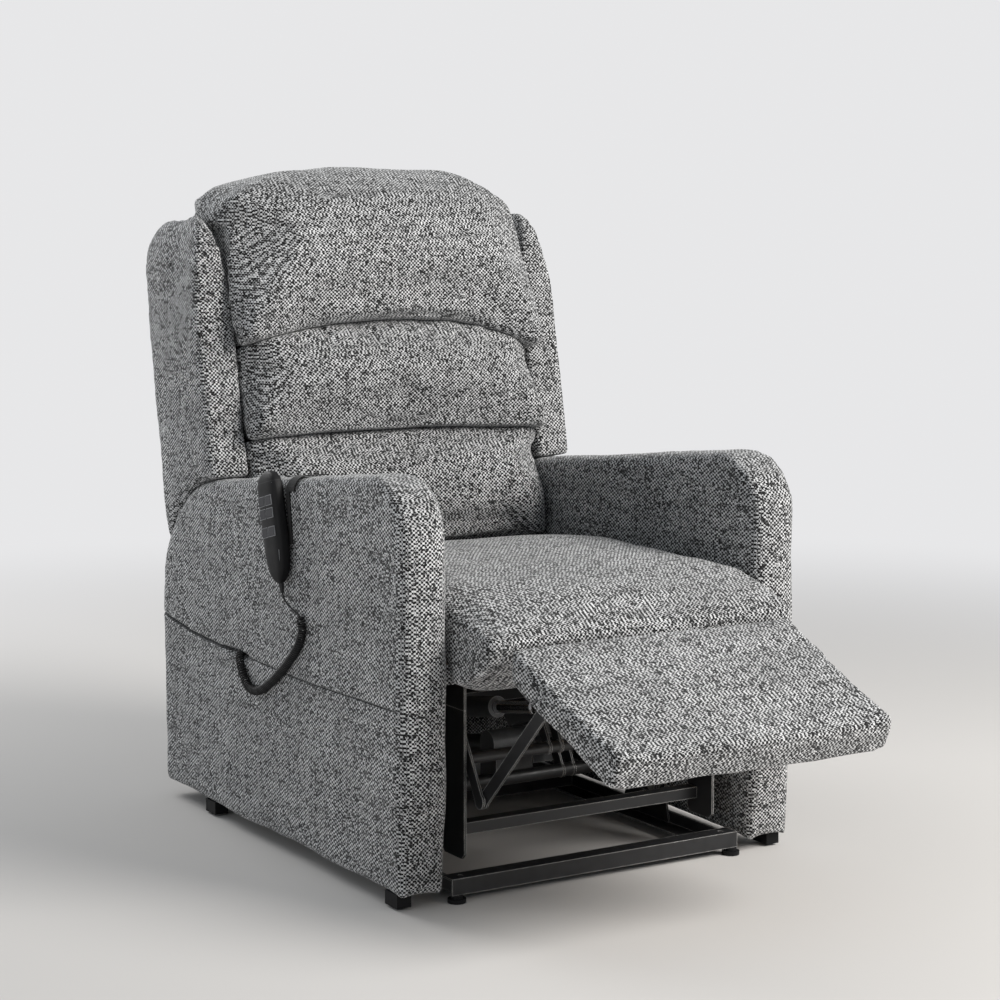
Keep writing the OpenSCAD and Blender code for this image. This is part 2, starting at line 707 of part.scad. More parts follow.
module head_cushion() {
    color("gray") cushion(crease_high + 0.5, crease_arch, head_len, head_arch, [
        [cushion_back, crease_high - 45], [-120, crease_high - 45], [-146, crease_high - 25],
        [-158, crease_high + 15], [-158, crease_high + 55], [-150, head_len - 150],
        [-132, head_len - 80], [-100, head_len - 28], [-60, head_len], [0, head_len],
        [50, head_len - 14], [92, head_len - 44], [back_rear - 6, wing_len + 12],
        [back_rear, wing_len - 20], [back_rear, wing_len - 29.7], [cushion_back, wing_len - 29.7]], -158, 50);
}
module middle_cushion() {
    color("gray") cushion(crease_low + 0.5, 0, crease_high, crease_arch, [
        [cushion_back, crease_low], [-118, crease_low], [-146, crease_low + 18],
        [-152, crease_low + 50], [-142, crease_low + 110], [-128, crease_high - 30],
        [-114, crease_high], [cushion_back, crease_high]], -152);
}
module lumbar_cushion() {
    a = unlean([184.5, seat_z + soft_gap]);
    b = unlean([lean([cushion_back, 0])[0] + 14, seat_z + soft_gap]);
    color("gray") difference() {
        cushion(40, 0, crease_low, 0, [
            b, a, [a[0] - 8, a[1] + 8], [-114, 130], [-122, 180], [-118, 230],
            [-104, crease_low], [cushion_back, crease_low]], -122);
        placed() both() box([arm_in - 4, arm_out], [100, arm_y + 20], [300, arm_line(arm_y / 2) + 30]);
    }
}

// ---- Legrest
module legrest_rear_links() {
    color("black") placed() both() {
        side(leg_x1 - plate_t, plate_t) difference() {
            bar2d(leg_pivot, leg_knee, leg_link_r);
            translate(leg_pivot) circle(leg_pin_r + run_fit);
        }
        linkage_pin(leg_x2 - plate_t - 0.3 - pin_head_t, leg_x1 - plate_t, leg_x2 - plate_t,
                    leg_pin_r + 3, leg_pin_r, leg_knee);
    }
}
module legrest_tube() {
    color("dimgray") placed() {
        x_pin(leg_tube_r, -leg_x1 + plate_t, 2 * (leg_x1 - plate_t), leg_tube_pin);
        for (x = [leg_act_x - ear_gap - ear_t, leg_act_x + ear_gap]) side(x, ear_t)
            bar2d(leg_tube_pin, leg_crank_pin, 11);
        x_pin(eye_pin_r, leg_act_x - ear_gap - ear_t - 2, 2 * (ear_gap + ear_t + 2), leg_crank_pin);
    }
}
module legrest_front_links() {
    color("black") placed() both() {
        side(leg_x2 - plate_t, plate_t) difference() {
            bar2d(leg_knee, leg_pin, leg_link_r);
            translate(leg_knee) circle(leg_pin_r + run_fit);
        }
        linkage_pin(leg_x3 - plate_t - 0.3 - pin_head_t, leg_x2 - plate_t, leg_x3 - plate_t,
                    leg_pin_r + 3, leg_pin_r, leg_pin);
    }
}
// A side view shape in the legrest's own frame: u along the pad from its rear edge, v above its top
module leg_side(x, w) {
    translate([0, leg_edge[0], leg_edge[1]]) rotate([leg_slope, 0, 0]) mirror([0, 1, 0]) side(x, w) children();
}
leg_pin_uv = [(leg_pin - leg_edge) * leg_u, (leg_pin - leg_edge) * leg_n];
module legrest_brackets() {
    color("black") placed() both() leg_side(leg_x3 - plate_t, plate_t) difference() {
        union() {
            translate(leg_pin_uv) circle(leg_link_r);
            polygon([[leg_pin_uv[0] - leg_link_r, leg_pin_uv[1]], [leg_pin_uv[0] - 26, -leg_t],
                     [leg_pin_uv[0] + 70, -leg_t], [leg_pin_uv[0] + leg_link_r, leg_pin_uv[1]]]);
        }
        translate(leg_pin_uv) circle(leg_pin_r + run_fit);
    }
}
module leg_plan(inset, z, h) {
    r = 32;
    a = leg_half_rear - inset;
    b = leg_half_front - inset;
    translate([0, leg_edge[0], leg_edge[1]]) rotate([leg_slope, 0, 0]) mirror([0, 1, 0])
        translate([0, 0, z]) linear_extrude(h)
            polygon(concat([[-a, -20], [a, -20]], arc([b - r, leg_len - inset - r], r, 0, 90, 8),
                           arc([r - b, leg_len - inset - r], r, 90, 180, 8)));
}
module legrest_board() {
    color("burlywood") placed() intersection() {
        leg_plan(14, -leg_t, leg_board_t);
        leg_side(-leg_half_rear, 2 * leg_half_rear) translate([30, -leg_t]) square([leg_len, leg_board_t]);
    }
}
module legrest_pad() {
    k = tan(leg_slope);
    color("gray") placed() intersection() {
        leg_plan(0, -leg_t, leg_t);
        leg_side(-leg_half_rear, 2 * leg_half_rear) polygon([
            [0, 0], [6, -8], [22, leg_board_t - leg_t], [leg_len + 10, leg_board_t - leg_t],
            [leg_len + 10, 0]]);
    }
}

// ---- Actuators. Each has a motor half and a rod half that slide on one axis.
// A cylinder or a box along the line from one eye to the other, from s0 to s1 along it
module axial(x, eye, other, r, s0, s1) {
    d = (other - eye) / norm(other - eye);
    p = eye + d * s0;
    translate([x, p[0], p[1]]) rotate([atan2(d[1], d[0]) - 90, 0, 0]) cylinder(r = r, h = s1 - s0);
}
module axial_box(x, eye, other, w, s0, s1, lo, hi) {
    d = other - eye;
    translate([x, eye[0], eye[1]]) rotate([atan2(d[1], d[0]), 0, 0])
        translate([-w / 2, s0, lo]) cube([w, s1 - s0, hi - lo]);
}
module eye_end(x, p, r, bore, toward) {
    d = toward - p;
    difference() {
        union() {
            side(x - eye_t / 2, eye_t) translate(p) circle(r);
            side(x - eye_t / 2, eye_t) bar2d(p + d * (r - 4) / norm(d), p + d * (r + 8) / norm(d), 6);
        }
        x_pin(bore, x - eye_t, 2 * eye_t, p);
    }
}
lift_len = norm(crank_pin - lift_eye);
leg_act_len = norm(leg_crank_pin - leg_eye);
rec_act_len = norm(rec_rod_pin - rec_eye);
module lift_rod() {
    color("silver") placed() {
        eye_end(lift_act_x, lift_eye, 12, eye_pin_r + run_fit, crank_pin);
        axial(lift_act_x, lift_eye, crank_pin, act_rod_r, 16, lift_len - 150);
    }
}
module lift_motor() {
    color("dimgray") placed() {
        eye_end(lift_act_x, crank_pin + lift_bore, eye_pin_r + play_lift + 5, eye_pin_r + play_lift,
                lift_eye + lift_bore);
        difference() {
            union() {
                axial(lift_act_x, lift_eye, crank_pin, act_tube_r, 150, lift_len - eye_pin_r - play_lift - 15);
                axial_box(lift_act_x, lift_eye, crank_pin, 46, lift_len - 104, lift_len - 48, -34, 30);
            }
            axial(lift_act_x, lift_eye, crank_pin, act_rod_r + 0.6, 140, lift_len - 120);
        }
        x_pin(motor_r, motor_x[0], motor_x[1] - motor_x[0], motor_axis);
        box([motor_x[0] + 5, motor_x[1] - 4], [motor_axis[0] - 20, motor_axis[0] + 30], [88, motor_axis[1] - 8]);
    }
}
// Motor half of the legrest or recline actuator: eye, gearbox, motor can under it, outer tube
module small_motor(x, eye, other, len_tube) {
    eye_end(x, eye, 12, eye_pin_r + run_fit, other);
    difference() {
        union() {
            axial_box(x, eye, other, 40, 16, 62, -30, 22);
            axial(x, eye, other, act_tube_r, 60, len_tube);
        }
        axial(x, eye, other, act_rod_r + 0.6, 70, len_tube + 10);
    }
}
module small_rod(x, eye, other, len_full, play, bore, s0) {
    eye_end(x, other + bore, eye_pin_r + play + 5, eye_pin_r + play, eye + bore);
    axial(x, eye, other, act_rod_r, s0, len_full - eye_pin_r - play - 13);
}
module legrest_motor() { color("dimgray") placed() small_motor(leg_act_x, leg_eye, leg_crank_pin, 200); }
module legrest_rod() {
    color("silver") placed() small_rod(leg_act_x, leg_eye, leg_crank_pin, leg_act_len, play_leg, leg_bore, 150);
}
module recline_motor() { color("dimgray") placed() small_motor(rec_act_x, rec_eye, rec_rod_pin, 180); }
module recline_rod() {
    color("silver") placed() small_rod(rec_act_x, rec_eye, rec_rod_pin, rec_act_len, play_rec, rec_bore, 150);
}

// ---- Handset on the outer face of the -X arm
// Handset shapes are drawn with u down its length and v across, its face towards -X
module on_handset(depth) {
    translate([hand_x - depth, hand_top[0], hand_top[1]]) rotate([-hand_lean, 0, 0])
        rotate([0, 90, 0]) children();
}
module handset_outline(g = 0) {
    a = hand_w / 2 - g;
    b = hand_tail_w / 2 - g;
    polygon(concat(
        arc([a * 0.55 + g, a * 0.45], a * 0.55, 90, 180, 6),
        arc([a * 0.55 + g, -a * 0.45], a * 0.55, 180, 270, 6),
        [[hand_len * 0.62, -a], [hand_len * 0.85, -a * 0.84], [hand_len * 0.92, -a * 0.64]],
        arc([hand_len - b * 0.7 - g, -b * 0.3], b * 0.7, 270, 360, 5),
        arc([hand_len - b * 0.7 - g, b * 0.3], b * 0.7, 0, 90, 5),
        [[hand_len * 0.92, a * 0.64], [hand_len * 0.85, a * 0.84], [hand_len * 0.62, a]]));
}
function key_at(i) = [key_u[floor(i / 2)], i % 2 == 0 ? -key_v : key_v];
module key_shape(i, g) {
    translate(key_at(i) - [key_l / 2 + g, key_w / 2 + g]) square([key_l + 2 * g, key_w + 2 * g]);
}
module handset() {
    color("black") placed() difference() {
        union() {
            translate([hand_x - hand_t / 2, hand_tail[0], hand_tail[1]]) rotate([180 - hand_lean, 0, 0])
                translate([0, 0, -4]) {
                    cylinder(r = 4.5, h = 8);
                    cylinder(r = 3.2, h = boot_len + 4);
                }
            on_handset(hand_t - 3) linear_extrude(hand_t - 3) handset_outline();
            on_handset(hand_t) linear_extrude(3.5) handset_outline(2);
        }
        for (i = [0 : 5]) on_handset(hand_t + 1) linear_extrude(1 + 3.2 + key_travel) key_shape(i, key_clear);
    }
}
module key(i) {
    color("dimgray") placed() on_handset(hand_t + key_proud) linear_extrude(key_proud + 3) key_shape(i, 0);
}
module key_1() { key(0); }
module key_2() { key(1); }
module key_3() { key(2); }
module key_4() { key(3); }
module key_5() { key(4); }
module key_6() { key(5); }
module handset_hook() {
    r = arm_edge_r + 0.2;
    y = [strap_y - strap_w / 2, strap_y + strap_w / 2];
    color("black") placed() translate([arm_edge_r - arm_out, 0, arm_top_z - arm_edge_r])
    rotate([-arm_rise, 0, 0]) {
        box([0, 40], y, [r, r + strap_t]);
        box([-r - strap_t, -r], [y[1] - strap_leg, y[1]], [-82, 0]);
        rotate([90, 0, 0]) translate([0, 0, -y[1]]) rotate([0, 0, 90])
            rotate_extrude(angle = 90) translate([r, 0]) square([strap_t, strap_w]);
    }
}
// Tube of radius r with n sides swept along a list of points
function sub_unit(v) = v / norm(v);
function tangent(p, i) = sub_unit(p[min(i + 1, len(p) - 1)] - p[max(i - 1, 0)]);
module sweep_tube(p, r, n) {
    rings = [for (i = [0 : len(p) - 1]) let (t = tangent(p, i), a = sub_unit(cross(t, [1, 0, 0])), b = cross(t, a))
        for (k = [0 : n - 1]) p[i] + r * (a * cos(360 * k / n) + b * sin(360 * k / n))];
    m = len(p);
    faces = concat(
        [[for (k = [n - 1 : -1 : 0]) k]],
        [for (i = [0 : m - 2], k = [0 : n - 1])
            [i * n + k, i * n + (k + 1) % n, (i + 1) * n + (k + 1) % n, (i + 1) * n + k]],
        [[for (k = [0 : n - 1]) (m - 1) * n + k]]);
    polyhedron(points = rings, faces = faces);
}
module handset_lead() { color("black") placed() translate([-arm_out, 0, 0]) sweep_tube(lead_pts, lead_r, 8); }
module handset_curly_cord() {
    color("black") placed() translate([-arm_out, 0, 0]) sweep_tube(curl_pts, curl_r, 10);
}

base_front_bar();
base_cross_bars();
base_rails();
base_feet();
base_pivot_brackets();
base_pins();
front_lift_links();
lift_torque_tube();
rear_lift_links();
chassis_rails();
chassis_columns();
chassis_lift_plates();
chassis_pins();
chassis_front_bar();
chassis_rear_tube();
motor_crossbar();
seat_side_rails();
seat_cross_rails();
seat_deck();
seat_cushion();
side_panel_right();
side_panel_left();
arm_pad_right();
arm_pad_left();
arm_spacers();
arm_glides();
rear_valance();
control_box();
back_side_rails();
back_cross_rails();
recliner_brackets();
recline_lever();
back_panel();
wing_right();
wing_left();
head_cushion();
middle_cushion();
lumbar_cushion();
legrest_rear_links();
legrest_tube();
legrest_front_links();
legrest_brackets();
legrest_board();
legrest_pad();
lift_rod();
lift_motor();
legrest_motor();
legrest_rod();
recline_motor();
recline_rod();
handset();
handset_hook();
handset_lead();
handset_curly_cord();
key_1();
key_2();
key_3();
key_4();
key_5();
key_6();
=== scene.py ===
import json
import bpy
import bmesh
import numpy as np
from math import radians, cos, sin, pi
from mathutils import Vector, Matrix, noise


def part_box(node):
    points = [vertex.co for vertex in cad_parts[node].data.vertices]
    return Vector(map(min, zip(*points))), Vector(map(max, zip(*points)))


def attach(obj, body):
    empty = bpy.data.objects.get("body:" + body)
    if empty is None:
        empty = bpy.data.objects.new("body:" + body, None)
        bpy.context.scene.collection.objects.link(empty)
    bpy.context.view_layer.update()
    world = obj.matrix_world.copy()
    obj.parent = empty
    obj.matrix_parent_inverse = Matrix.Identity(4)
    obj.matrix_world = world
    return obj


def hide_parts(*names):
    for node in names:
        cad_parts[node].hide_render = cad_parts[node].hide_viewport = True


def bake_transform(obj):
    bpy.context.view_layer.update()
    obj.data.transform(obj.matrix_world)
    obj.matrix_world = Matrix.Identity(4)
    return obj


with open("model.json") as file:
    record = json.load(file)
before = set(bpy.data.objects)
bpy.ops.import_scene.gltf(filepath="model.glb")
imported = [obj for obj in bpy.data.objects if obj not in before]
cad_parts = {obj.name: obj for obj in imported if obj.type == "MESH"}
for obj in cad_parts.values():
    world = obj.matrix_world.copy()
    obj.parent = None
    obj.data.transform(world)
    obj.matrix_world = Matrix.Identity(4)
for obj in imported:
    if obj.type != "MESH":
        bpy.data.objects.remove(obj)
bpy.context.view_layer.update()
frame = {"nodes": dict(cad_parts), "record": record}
nodes = frame["nodes"]
scene = bpy.context.scene
up = Vector((0, 0, 1))
tiny = 1e-9

# The chair's middle, halfway between the outer faces of its two sides
leftLow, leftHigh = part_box("side_panel_left")
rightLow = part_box("side_panel_right")[0]
midX = (leftHigh.x + rightLow.x) / 2
midY = (leftLow.y + leftHigh.y) / 2


# A point given in millimetres from the middle of the chair, on the floor
def at(x, y, z):
    return Vector((midX + x / 1000, midY + y / 1000, z / 1000))


backLean = radians(11.8)
chairFrame = Matrix.Translation((midX, midY, 0))
backFrame = Matrix.Translation(at(0, 260, 350)) @ Matrix.Rotation(-backLean, 4, "X")


# ---- Objects and meshes
def addObject(name, data):
    obj = bpy.data.objects.new(name, data)
    scene.collection.objects.link(obj)
    return obj


def meshObject(name, bm, material):
    mesh = bpy.data.meshes.new(name)
    bm.to_mesh(mesh)
    bm.free()
    mesh.materials.append(material)
    return addObject(name, mesh)


def place(obj, body, slot, replaced=()):
    if replaced:
        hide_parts(*replaced)
    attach(obj, body)


# Smooth shading with hard edges where faces meet at more than an angle
def sharpen(mesh, angle):
    bm = bmesh.new()
    bm.from_mesh(mesh)
    for face in bm.faces:
        face.smooth = True
    for edge in bm.edges:
        edge.smooth = len(edge.link_faces) == 2 and edge.calc_face_angle(0) < radians(angle)
    bm.to_mesh(mesh)
    bm.free()


def bakeModifiers(obj):
    graph = bpy.context.evaluated_depsgraph_get()
    graph.update()
    made = bpy.data.meshes.new_from_object(obj.evaluated_get(graph))
    old = obj.data
    obj.modifiers.clear()
    obj.data = made
    bpy.data.meshes.remove(old)


def points(mesh, kind="co"):
    values = np.zeros(len(mesh.vertices) * 3)
    mesh.vertices.foreach_get(kind, values)
    return values.reshape(-1, 3)


def setPoints(mesh, co):
    mesh.vertices.foreach_set("co", co.astype(np.float32).ravel())
    mesh.update()


# A box from low to high, in millimetres of a local frame
def boxMesh(bm, low, high, local):
    for v in bmesh.ops.create_cube(bm, size=1.0)["verts"]:
        v.co = local @ Vector([(low[k] + (v.co[k] + 0.5) * (high[k] - low[k])) / 1000 for k in range(3)])


def cutAll(bm, middle, normal):
    bmesh.ops.bisect_plane(bm, geom=bm.verts[:] + bm.edges[:] + bm.faces[:], dist=0.000001, plane_co=middle,
                           plane_no=normal)


# The point and the normal of a plane across one axis of a local frame
def axisPlane(local, axis, level):
    unit = Vector(np.eye(3)[axis])
    return local @ (unit * (level / 1000)), (local.to_3x3() @ unit).normalized()


# ---- Shader nodes
colorMix = {"inputs": (0, 6, 7), "result": 2}
patternRange = (0.3, 0.7)


def nodeTree(owner):
    owner.use_nodes = True
    owner.node_tree.nodes.clear()
    return owner.node_tree


def newNode(tree, kind, **settings):
    made = tree.nodes.new("ShaderNode" + kind)
    for name, value in settings.items():
        setattr(made, name, value)
    return made


def link(tree, a, b):
    tree.links.new(a, b)


# Each value is either a constant for its socket or another node's output
def feed(tree, values, sockets):
    for value, socket in zip(values, sockets):
        if isinstance(value, (int, float, tuple)):
            socket.default_value = value
        else:
            link(tree, value, socket)


def texture(tree, kind, vector, **values):
    made = newNode(tree, "Tex" + kind)
    for name, value in values.items():
        made.inputs[name].default_value = value
    link(tree, vector, made.inputs["Vector"])
    return made


def noisy(tree, vector, scale, detail, roughness=0.5):
    return texture(tree, "Noise", vector, Scale=scale, Detail=detail, Roughness=roughness).outputs[0]


def scaled(tree, vector, scale):
    made = newNode(tree, "Mapping")
    feed(tree, (vector, scale), (made.inputs["Vector"], made.inputs["Scale"]))
    return made.outputs[0]


def ramp(tree, value, stops):
    made = newNode(tree, "ValToRGB")
    band = made.color_ramp
    while len(band.elements) < len(stops):
        band.elements.new(0.5)
    for element, (place, level) in zip(band.elements, stops):
        element.position = place
        element.color = (*level, 1) if isinstance(level, tuple) else (level, level, level, 1)
    link(tree, value, made.inputs["Fac"])
    return made.outputs["Color"]


# A ramp over the middle values that a noise pattern mostly has
def patternRamp(tree, pattern, low, high):
    return ramp(tree, pattern, list(zip(patternRange, (low, high))))


def mixColor(tree, kind, share, a, b):
    made = newNode(tree, "Mix", data_type="RGBA", blend_type=kind)
    feed(tree, (share, a, b), [made.inputs[number] for number in colorMix["inputs"]])
    return made.outputs[colorMix["result"]]


def multiplied(tree, a, b):
    return mixColor(tree, "MULTIPLY", 1.0, a, b)


def arithmetic(tree, operation, a, b):
    made = newNode(tree, "Math", operation=operation)
    feed(tree, (a, b), made.inputs)
    return made.outputs[0]


# Shades a colour and sets a roughness by a pattern, each between two values
def vary(tree, shader, pattern, color, tint, rough=None):
    link(tree, multiplied(tree, color, patternRamp(tree, pattern, *tint)), shader.inputs["Base Color"])
    if rough:
        link(tree, patternRamp(tree, pattern, *rough), shader.inputs["Roughness"])


def bump(tree, shader, height, strength, distance):
    made = newNode(tree, "Bump")
    sockets = [made.inputs[name] for name in ("Height", "Strength", "Distance")]
    feed(tree, (height, strength, distance), sockets)
    link(tree, made.outputs[0], shader.inputs["Normal"])


def colored(tree, kind, color):
    made = newNode(tree, kind)
    made.inputs["Color"].default_value = color
    return made


def mixShader(tree, share, a, b, output):
    mix = newNode(tree, "MixShader")
    feed(tree, (share, a.outputs[0], b.outputs[0]), mix.inputs)
    link(tree, mix.outputs[0], newNode(tree, output).inputs["Surface"])


# ---- Camera, light and floor
camera = {
    "place": (-2042.6, -3468.3, 1060.0), "turn": -31.366, "down": 5.044, "lens": 88.02, "sensor": 36,
    "shiftY": -0.1, "farEnd": 60}
studio = {
    "backdrop": (0.80, 0.80, 0.81, 1), "ambient": (0.86, 0.93, 1.0, 1), "ambientLevel": 0.33,
    "floorColor": (0.62, 0.60, 0.58, 1), "floorRadius": 14, "floorSides": 96, "floorDrop": 0.0005,
    "fadeStart": 1.3, "fadeEnd": 3.6}
lamps = {
    "key": {"place": (1900, -2900, 2500), "aim": (0, -100, 450), "size": 2.2, "power": 190,
            "color": (1, 0.98, 0.95)},
    "fill": {"place": (-3000, -1300, 900), "aim": (-300, 0, 500), "size": 1.6, "power": 10,
             "color": (0.95, 0.98, 1)},
    "back": {"place": (-900, 2600, 2300), "aim": (0, 0, 700), "size": 2.0, "power": 55,
             "color": (1, 1, 1)}}


def makeCamera():
    data = bpy.data.cameras.new("camera")
    data.sensor_width = camera["sensor"]
    data.lens = camera["lens"]
    data.shift_y = camera["shiftY"]
    data.clip_end = camera["farEnd"]
    obj = addObject("camera", data)
    obj.location = at(*camera["place"])
    obj.rotation_euler = (radians(90 - camera["down"]), 0, radians(camera["turn"]))
    scene.camera = obj


# Soft blue light from all around, behind a plain pale backdrop
def makeWorld():
    scene.world = bpy.data.worlds.new("studio")
    tree = nodeTree(scene.world)
    rays = newNode(tree, "LightPath").outputs
    seen = rays["Is Camera Ray"]
    for kind in ("Is Glossy Ray", "Is Transmission Ray"):
        seen = arithmetic(tree, "MAXIMUM", seen, rays[kind])
    ambient = colored(tree, "Background", studio["ambient"])
    ambient.inputs["Strength"].default_value = studio["ambientLevel"]
    mixShader(tree, seen, ambient, colored(tree, "Background", studio["backdrop"]), "OutputWorld")


# A matte disc that fades into the backdrop away from the chair
def makeFloor():
    bm = bmesh.new()
    bmesh.ops.create_circle(bm, cap_ends=True, segments=studio["floorSides"], radius=studio["floorRadius"])
    material = bpy.data.materials.new("paleFloor")
    floor = meshObject("floor", bm, material)
    floor.location = (0, 0, -studio["floorDrop"])
    tree = nodeTree(material)
    away = newNode(tree, "VectorMath", operation="LENGTH")
    link(tree, newNode(tree, "TexCoord").outputs["Object"], away.inputs[0])
    fade = newNode(tree, "MapRange", interpolation_type="SMOOTHSTEP")
    feed(tree, (away.outputs["Value"], studio["fadeStart"], studio["fadeEnd"]), fade.inputs)
    matte = colored(tree, "BsdfDiffuse", studio["floorColor"])
    mixShader(tree, fade.outputs[0], matte, colored(tree, "Emission", studio["backdrop"]), "OutputMaterial")


def makeLamps():
    for name, lamp in lamps.items():
        data = bpy.data.lights.new(name, "AREA")
        data.shape = "DISK"
        data.size = lamp["size"]
        data.energy = lamp["power"]
        data.color = lamp["color"]
        obj = addObject(name, data)
        obj.location = at(*lamp["place"])
        obj.rotation_euler = (at(*lamp["aim"]) - obj.location).to_track_quat("-Z", "Y").to_euler()


makeCamera()
makeWorld()
makeFloor()
makeLamps()
scene.view_settings.view_transform = "Standard"
print("camera and studio made")


# ---- Materials
def newMaterial(name, **values):
    material = bpy.data.materials.new(name)
    tree = nodeTree(material)
    shader = newNode(tree, "BsdfPrincipled")
    for key, value in values.items():
        shader.inputs[key.replace("_", " ")].default_value = value
    link(tree, shader.outputs[0], newNode(tree, "OutputMaterial").inputs["Surface"])
    return material, tree, shader, newNode(tree, "TexCoord").outputs["Object"]


# Mixed black and white yarns: a loose checker weave, a random shade for each yarn, and flecks
tweed = {
    "yarn": 290, "flat": (1.0, 0.74, 1.1), "uneven": 0.55, "drift": 110.0, "wander": 0.0028, "fleck": 900,
    "cellShare": 0.46, "fleckShare": 0.14, "weaveShare": 0.4, "cloud": 7.0, "cloudShade": 0.88,
    "stops": [(0.0, 0.002), (0.44, 0.006), (0.51, 0.03), (0.56, 0.18), (0.61, 0.52), (0.67, 0.77),
              (1.0, 0.85)],
    "slubs": ((5.0, 5.0, 95.0), (95.0, 95.0, 5.0)), "slubStops": [(0.35, 0.78), (0.65, 1.0)],
    "nubs": (0.6, 0.0018)}


def tweedMaterial(name, tone=1.0):
    material, tree, shader, coords = newMaterial(name, Roughness=0.92, Sheen_Weight=0.25, Sheen_Roughness=0.5,
                                                 Specular_IOR_Level=0.15)
    drift = texture(tree, "Noise", coords, Scale=tweed["drift"], Detail=2.0, Roughness=0.6)
    wander = newNode(tree, "VectorMath", operation="MULTIPLY_ADD")
    feed(tree, (drift.outputs["Color"], (tweed["wander"],) * 3, coords), wander.inputs)
    flat = scaled(tree, wander.outputs[0], tweed["flat"])
    yarn = texture(tree, "Voronoi", flat, Scale=tweed["yarn"], Randomness=tweed["uneven"])
    weave = texture(tree, "Checker", flat, Scale=tweed["yarn"])
    fleck = noisy(tree, coords, tweed["fleck"], 1.0, 0.6)
    cells = newNode(tree, "SeparateColor")
    link(tree, yarn.outputs["Color"], cells.inputs[0])
    mixed = 0.0
    for value, share in ((cells.outputs[0], "cellShare"), (fleck, "fleckShare"),
                         (weave.outputs["Fac"], "weaveShare")):
        mixed = arithmetic(tree, "ADD", mixed, arithmetic(tree, "MULTIPLY", value, tweed[share]))
    cloudy = noisy(tree, coords, tweed["cloud"], 3.0, 0.55)
    shade = patternRamp(tree, cloudy, tweed["cloudShade"] * tone, tone)
    for scale in tweed["slubs"]:  # along the weft and the warp
        slub = noisy(tree, scaled(tree, coords, scale), 1.0, 2.0)
        shade = multiplied(tree, shade, ramp(tree, slub, tweed["slubStops"]))
    color = multiplied(tree, ramp(tree, mixed, tweed["stops"]), shade)
    link(tree, color, shader.inputs["Base Color"])
    bump(tree, shader, arithmetic(tree, "SUBTRACT", 1.0, yarn.outputs["Distance"]), *tweed["nubs"])
    return material


# Paint with a patchy tone, and a lighter colour along the edges as a painted highlight, broken up by the same
# patches
paint = {
    "wearAndGlint": 60.0, "grain": 900.0, "edgeRadius": 0.0022, "edgeSamples": 4,
    "edgeStops": [(0.86, 1.0), (0.99, 0.0)], "highlightBreakStops": [(0.35, 0.45), (0.6, 1.0)],
    "tint": (0.75, 1.15), "smoother": 0.08, "rougher": 0.12, "bump": (0.12, 0.0004)}


def paintedSteel(name, color, edge, roughness=0.38):
    material, tree, shader, coords = newMaterial(name, Metallic=0.15, Specular_IOR_Level=0.6)
    wearAndGlint = noisy(tree, coords, paint["wearAndGlint"], 6.0, 0.65)
    rounded = newNode(tree, "Bevel", samples=paint["edgeSamples"])
    rounded.inputs["Radius"].default_value = paint["edgeRadius"]
    surface = newNode(tree, "NewGeometry")
    across = newNode(tree, "VectorMath", operation="DOT_PRODUCT")
    feed(tree, (rounded.outputs[0], surface.outputs["True Normal"]), across.inputs)
    # Painted highlight: the edge colour goes where the Bevel normal turns away from the true normal
    onEdge = ramp(tree, across.outputs["Value"], paint["edgeStops"])
    edgeHighlight = multiplied(tree, onEdge, ramp(tree, wearAndGlint, paint["highlightBreakStops"]))
    body = multiplied(tree, color, patternRamp(tree, wearAndGlint, *paint["tint"]))
    link(tree, mixColor(tree, "MIX", edgeHighlight, body, edge), shader.inputs["Base Color"])
    rough = patternRamp(tree, wearAndGlint, roughness - paint["smoother"], roughness + paint["rougher"])
    link(tree, rough, shader.inputs["Roughness"])
    bump(tree, shader, noisy(tree, coords, paint["grain"], 2.0), *paint["bump"])
    return material


metal = {"tint": (0.86, 1.0), "roughShares": (0.8, 1.3), "bump": (0.08, 0.0003)}


def plainMetal(name, color, roughness, streak):
    material, tree, shader, coords = newMaterial(name, Metallic=1.0)
    lines = noisy(tree, coords, streak, 4.0, 0.6)
    vary(tree, shader, lines, color, metal["tint"], [roughness * share for share in metal["roughShares"]])
    bump(tree, shader, lines, *metal["bump"])
    return material


plastic = {"dust": 34.0, "tint": (0.8, 1.25), "smoother": 0.06, "rougher": 0.08, "bumpHeight": 0.0003}


def mouldedPlastic(name, color, roughness, pebble=1400.0, depth=0.14, shine=0.3):
    material, tree, shader, coords = newMaterial(name, Specular_IOR_Level=shine)
    skin = texture(tree, "Voronoi", coords, Scale=pebble, Randomness=1.0)
    rough = (roughness - plastic["smoother"], roughness + plastic["rougher"])
    vary(tree, shader, noisy(tree, coords, plastic["dust"], 5.0, 0.6), color, plastic["tint"], rough)
    bump(tree, shader, skin.outputs["Distance"], depth, plastic["bumpHeight"])
    return material


timber = {
    "stretch": (0.7, 9.0, 9.0), "rough": (0.75, 0.55), "bump": (0.2, 0.0006),
    "stops": [(0.30, (0.36, 0.23, 0.12)), (0.5, (0.58, 0.42, 0.25)), (0.7, (0.68, 0.52, 0.34))]}


def timberMaterial(name):
    material, tree, shader, coords = newMaterial(name, Specular_IOR_Level=0.3)
    grain = texture(tree, "Noise", scaled(tree, coords, timber["stretch"]), Scale=14.0, Detail=8.0,
                    Roughness=0.62, Distortion=0.6).outputs[0]
    link(tree, ramp(tree, grain, timber["stops"]), shader.inputs["Base Color"])
    link(tree, patternRamp(tree, grain, *timber["rough"]), shader.inputs["Roughness"])
    bump(tree, shader, grain, *timber["bump"])
    return material


woven = {"threadsForScale": 6, "dust": 25.0, "tint": (0.7, 1.3), "bump": (0.4, 0.0004)}


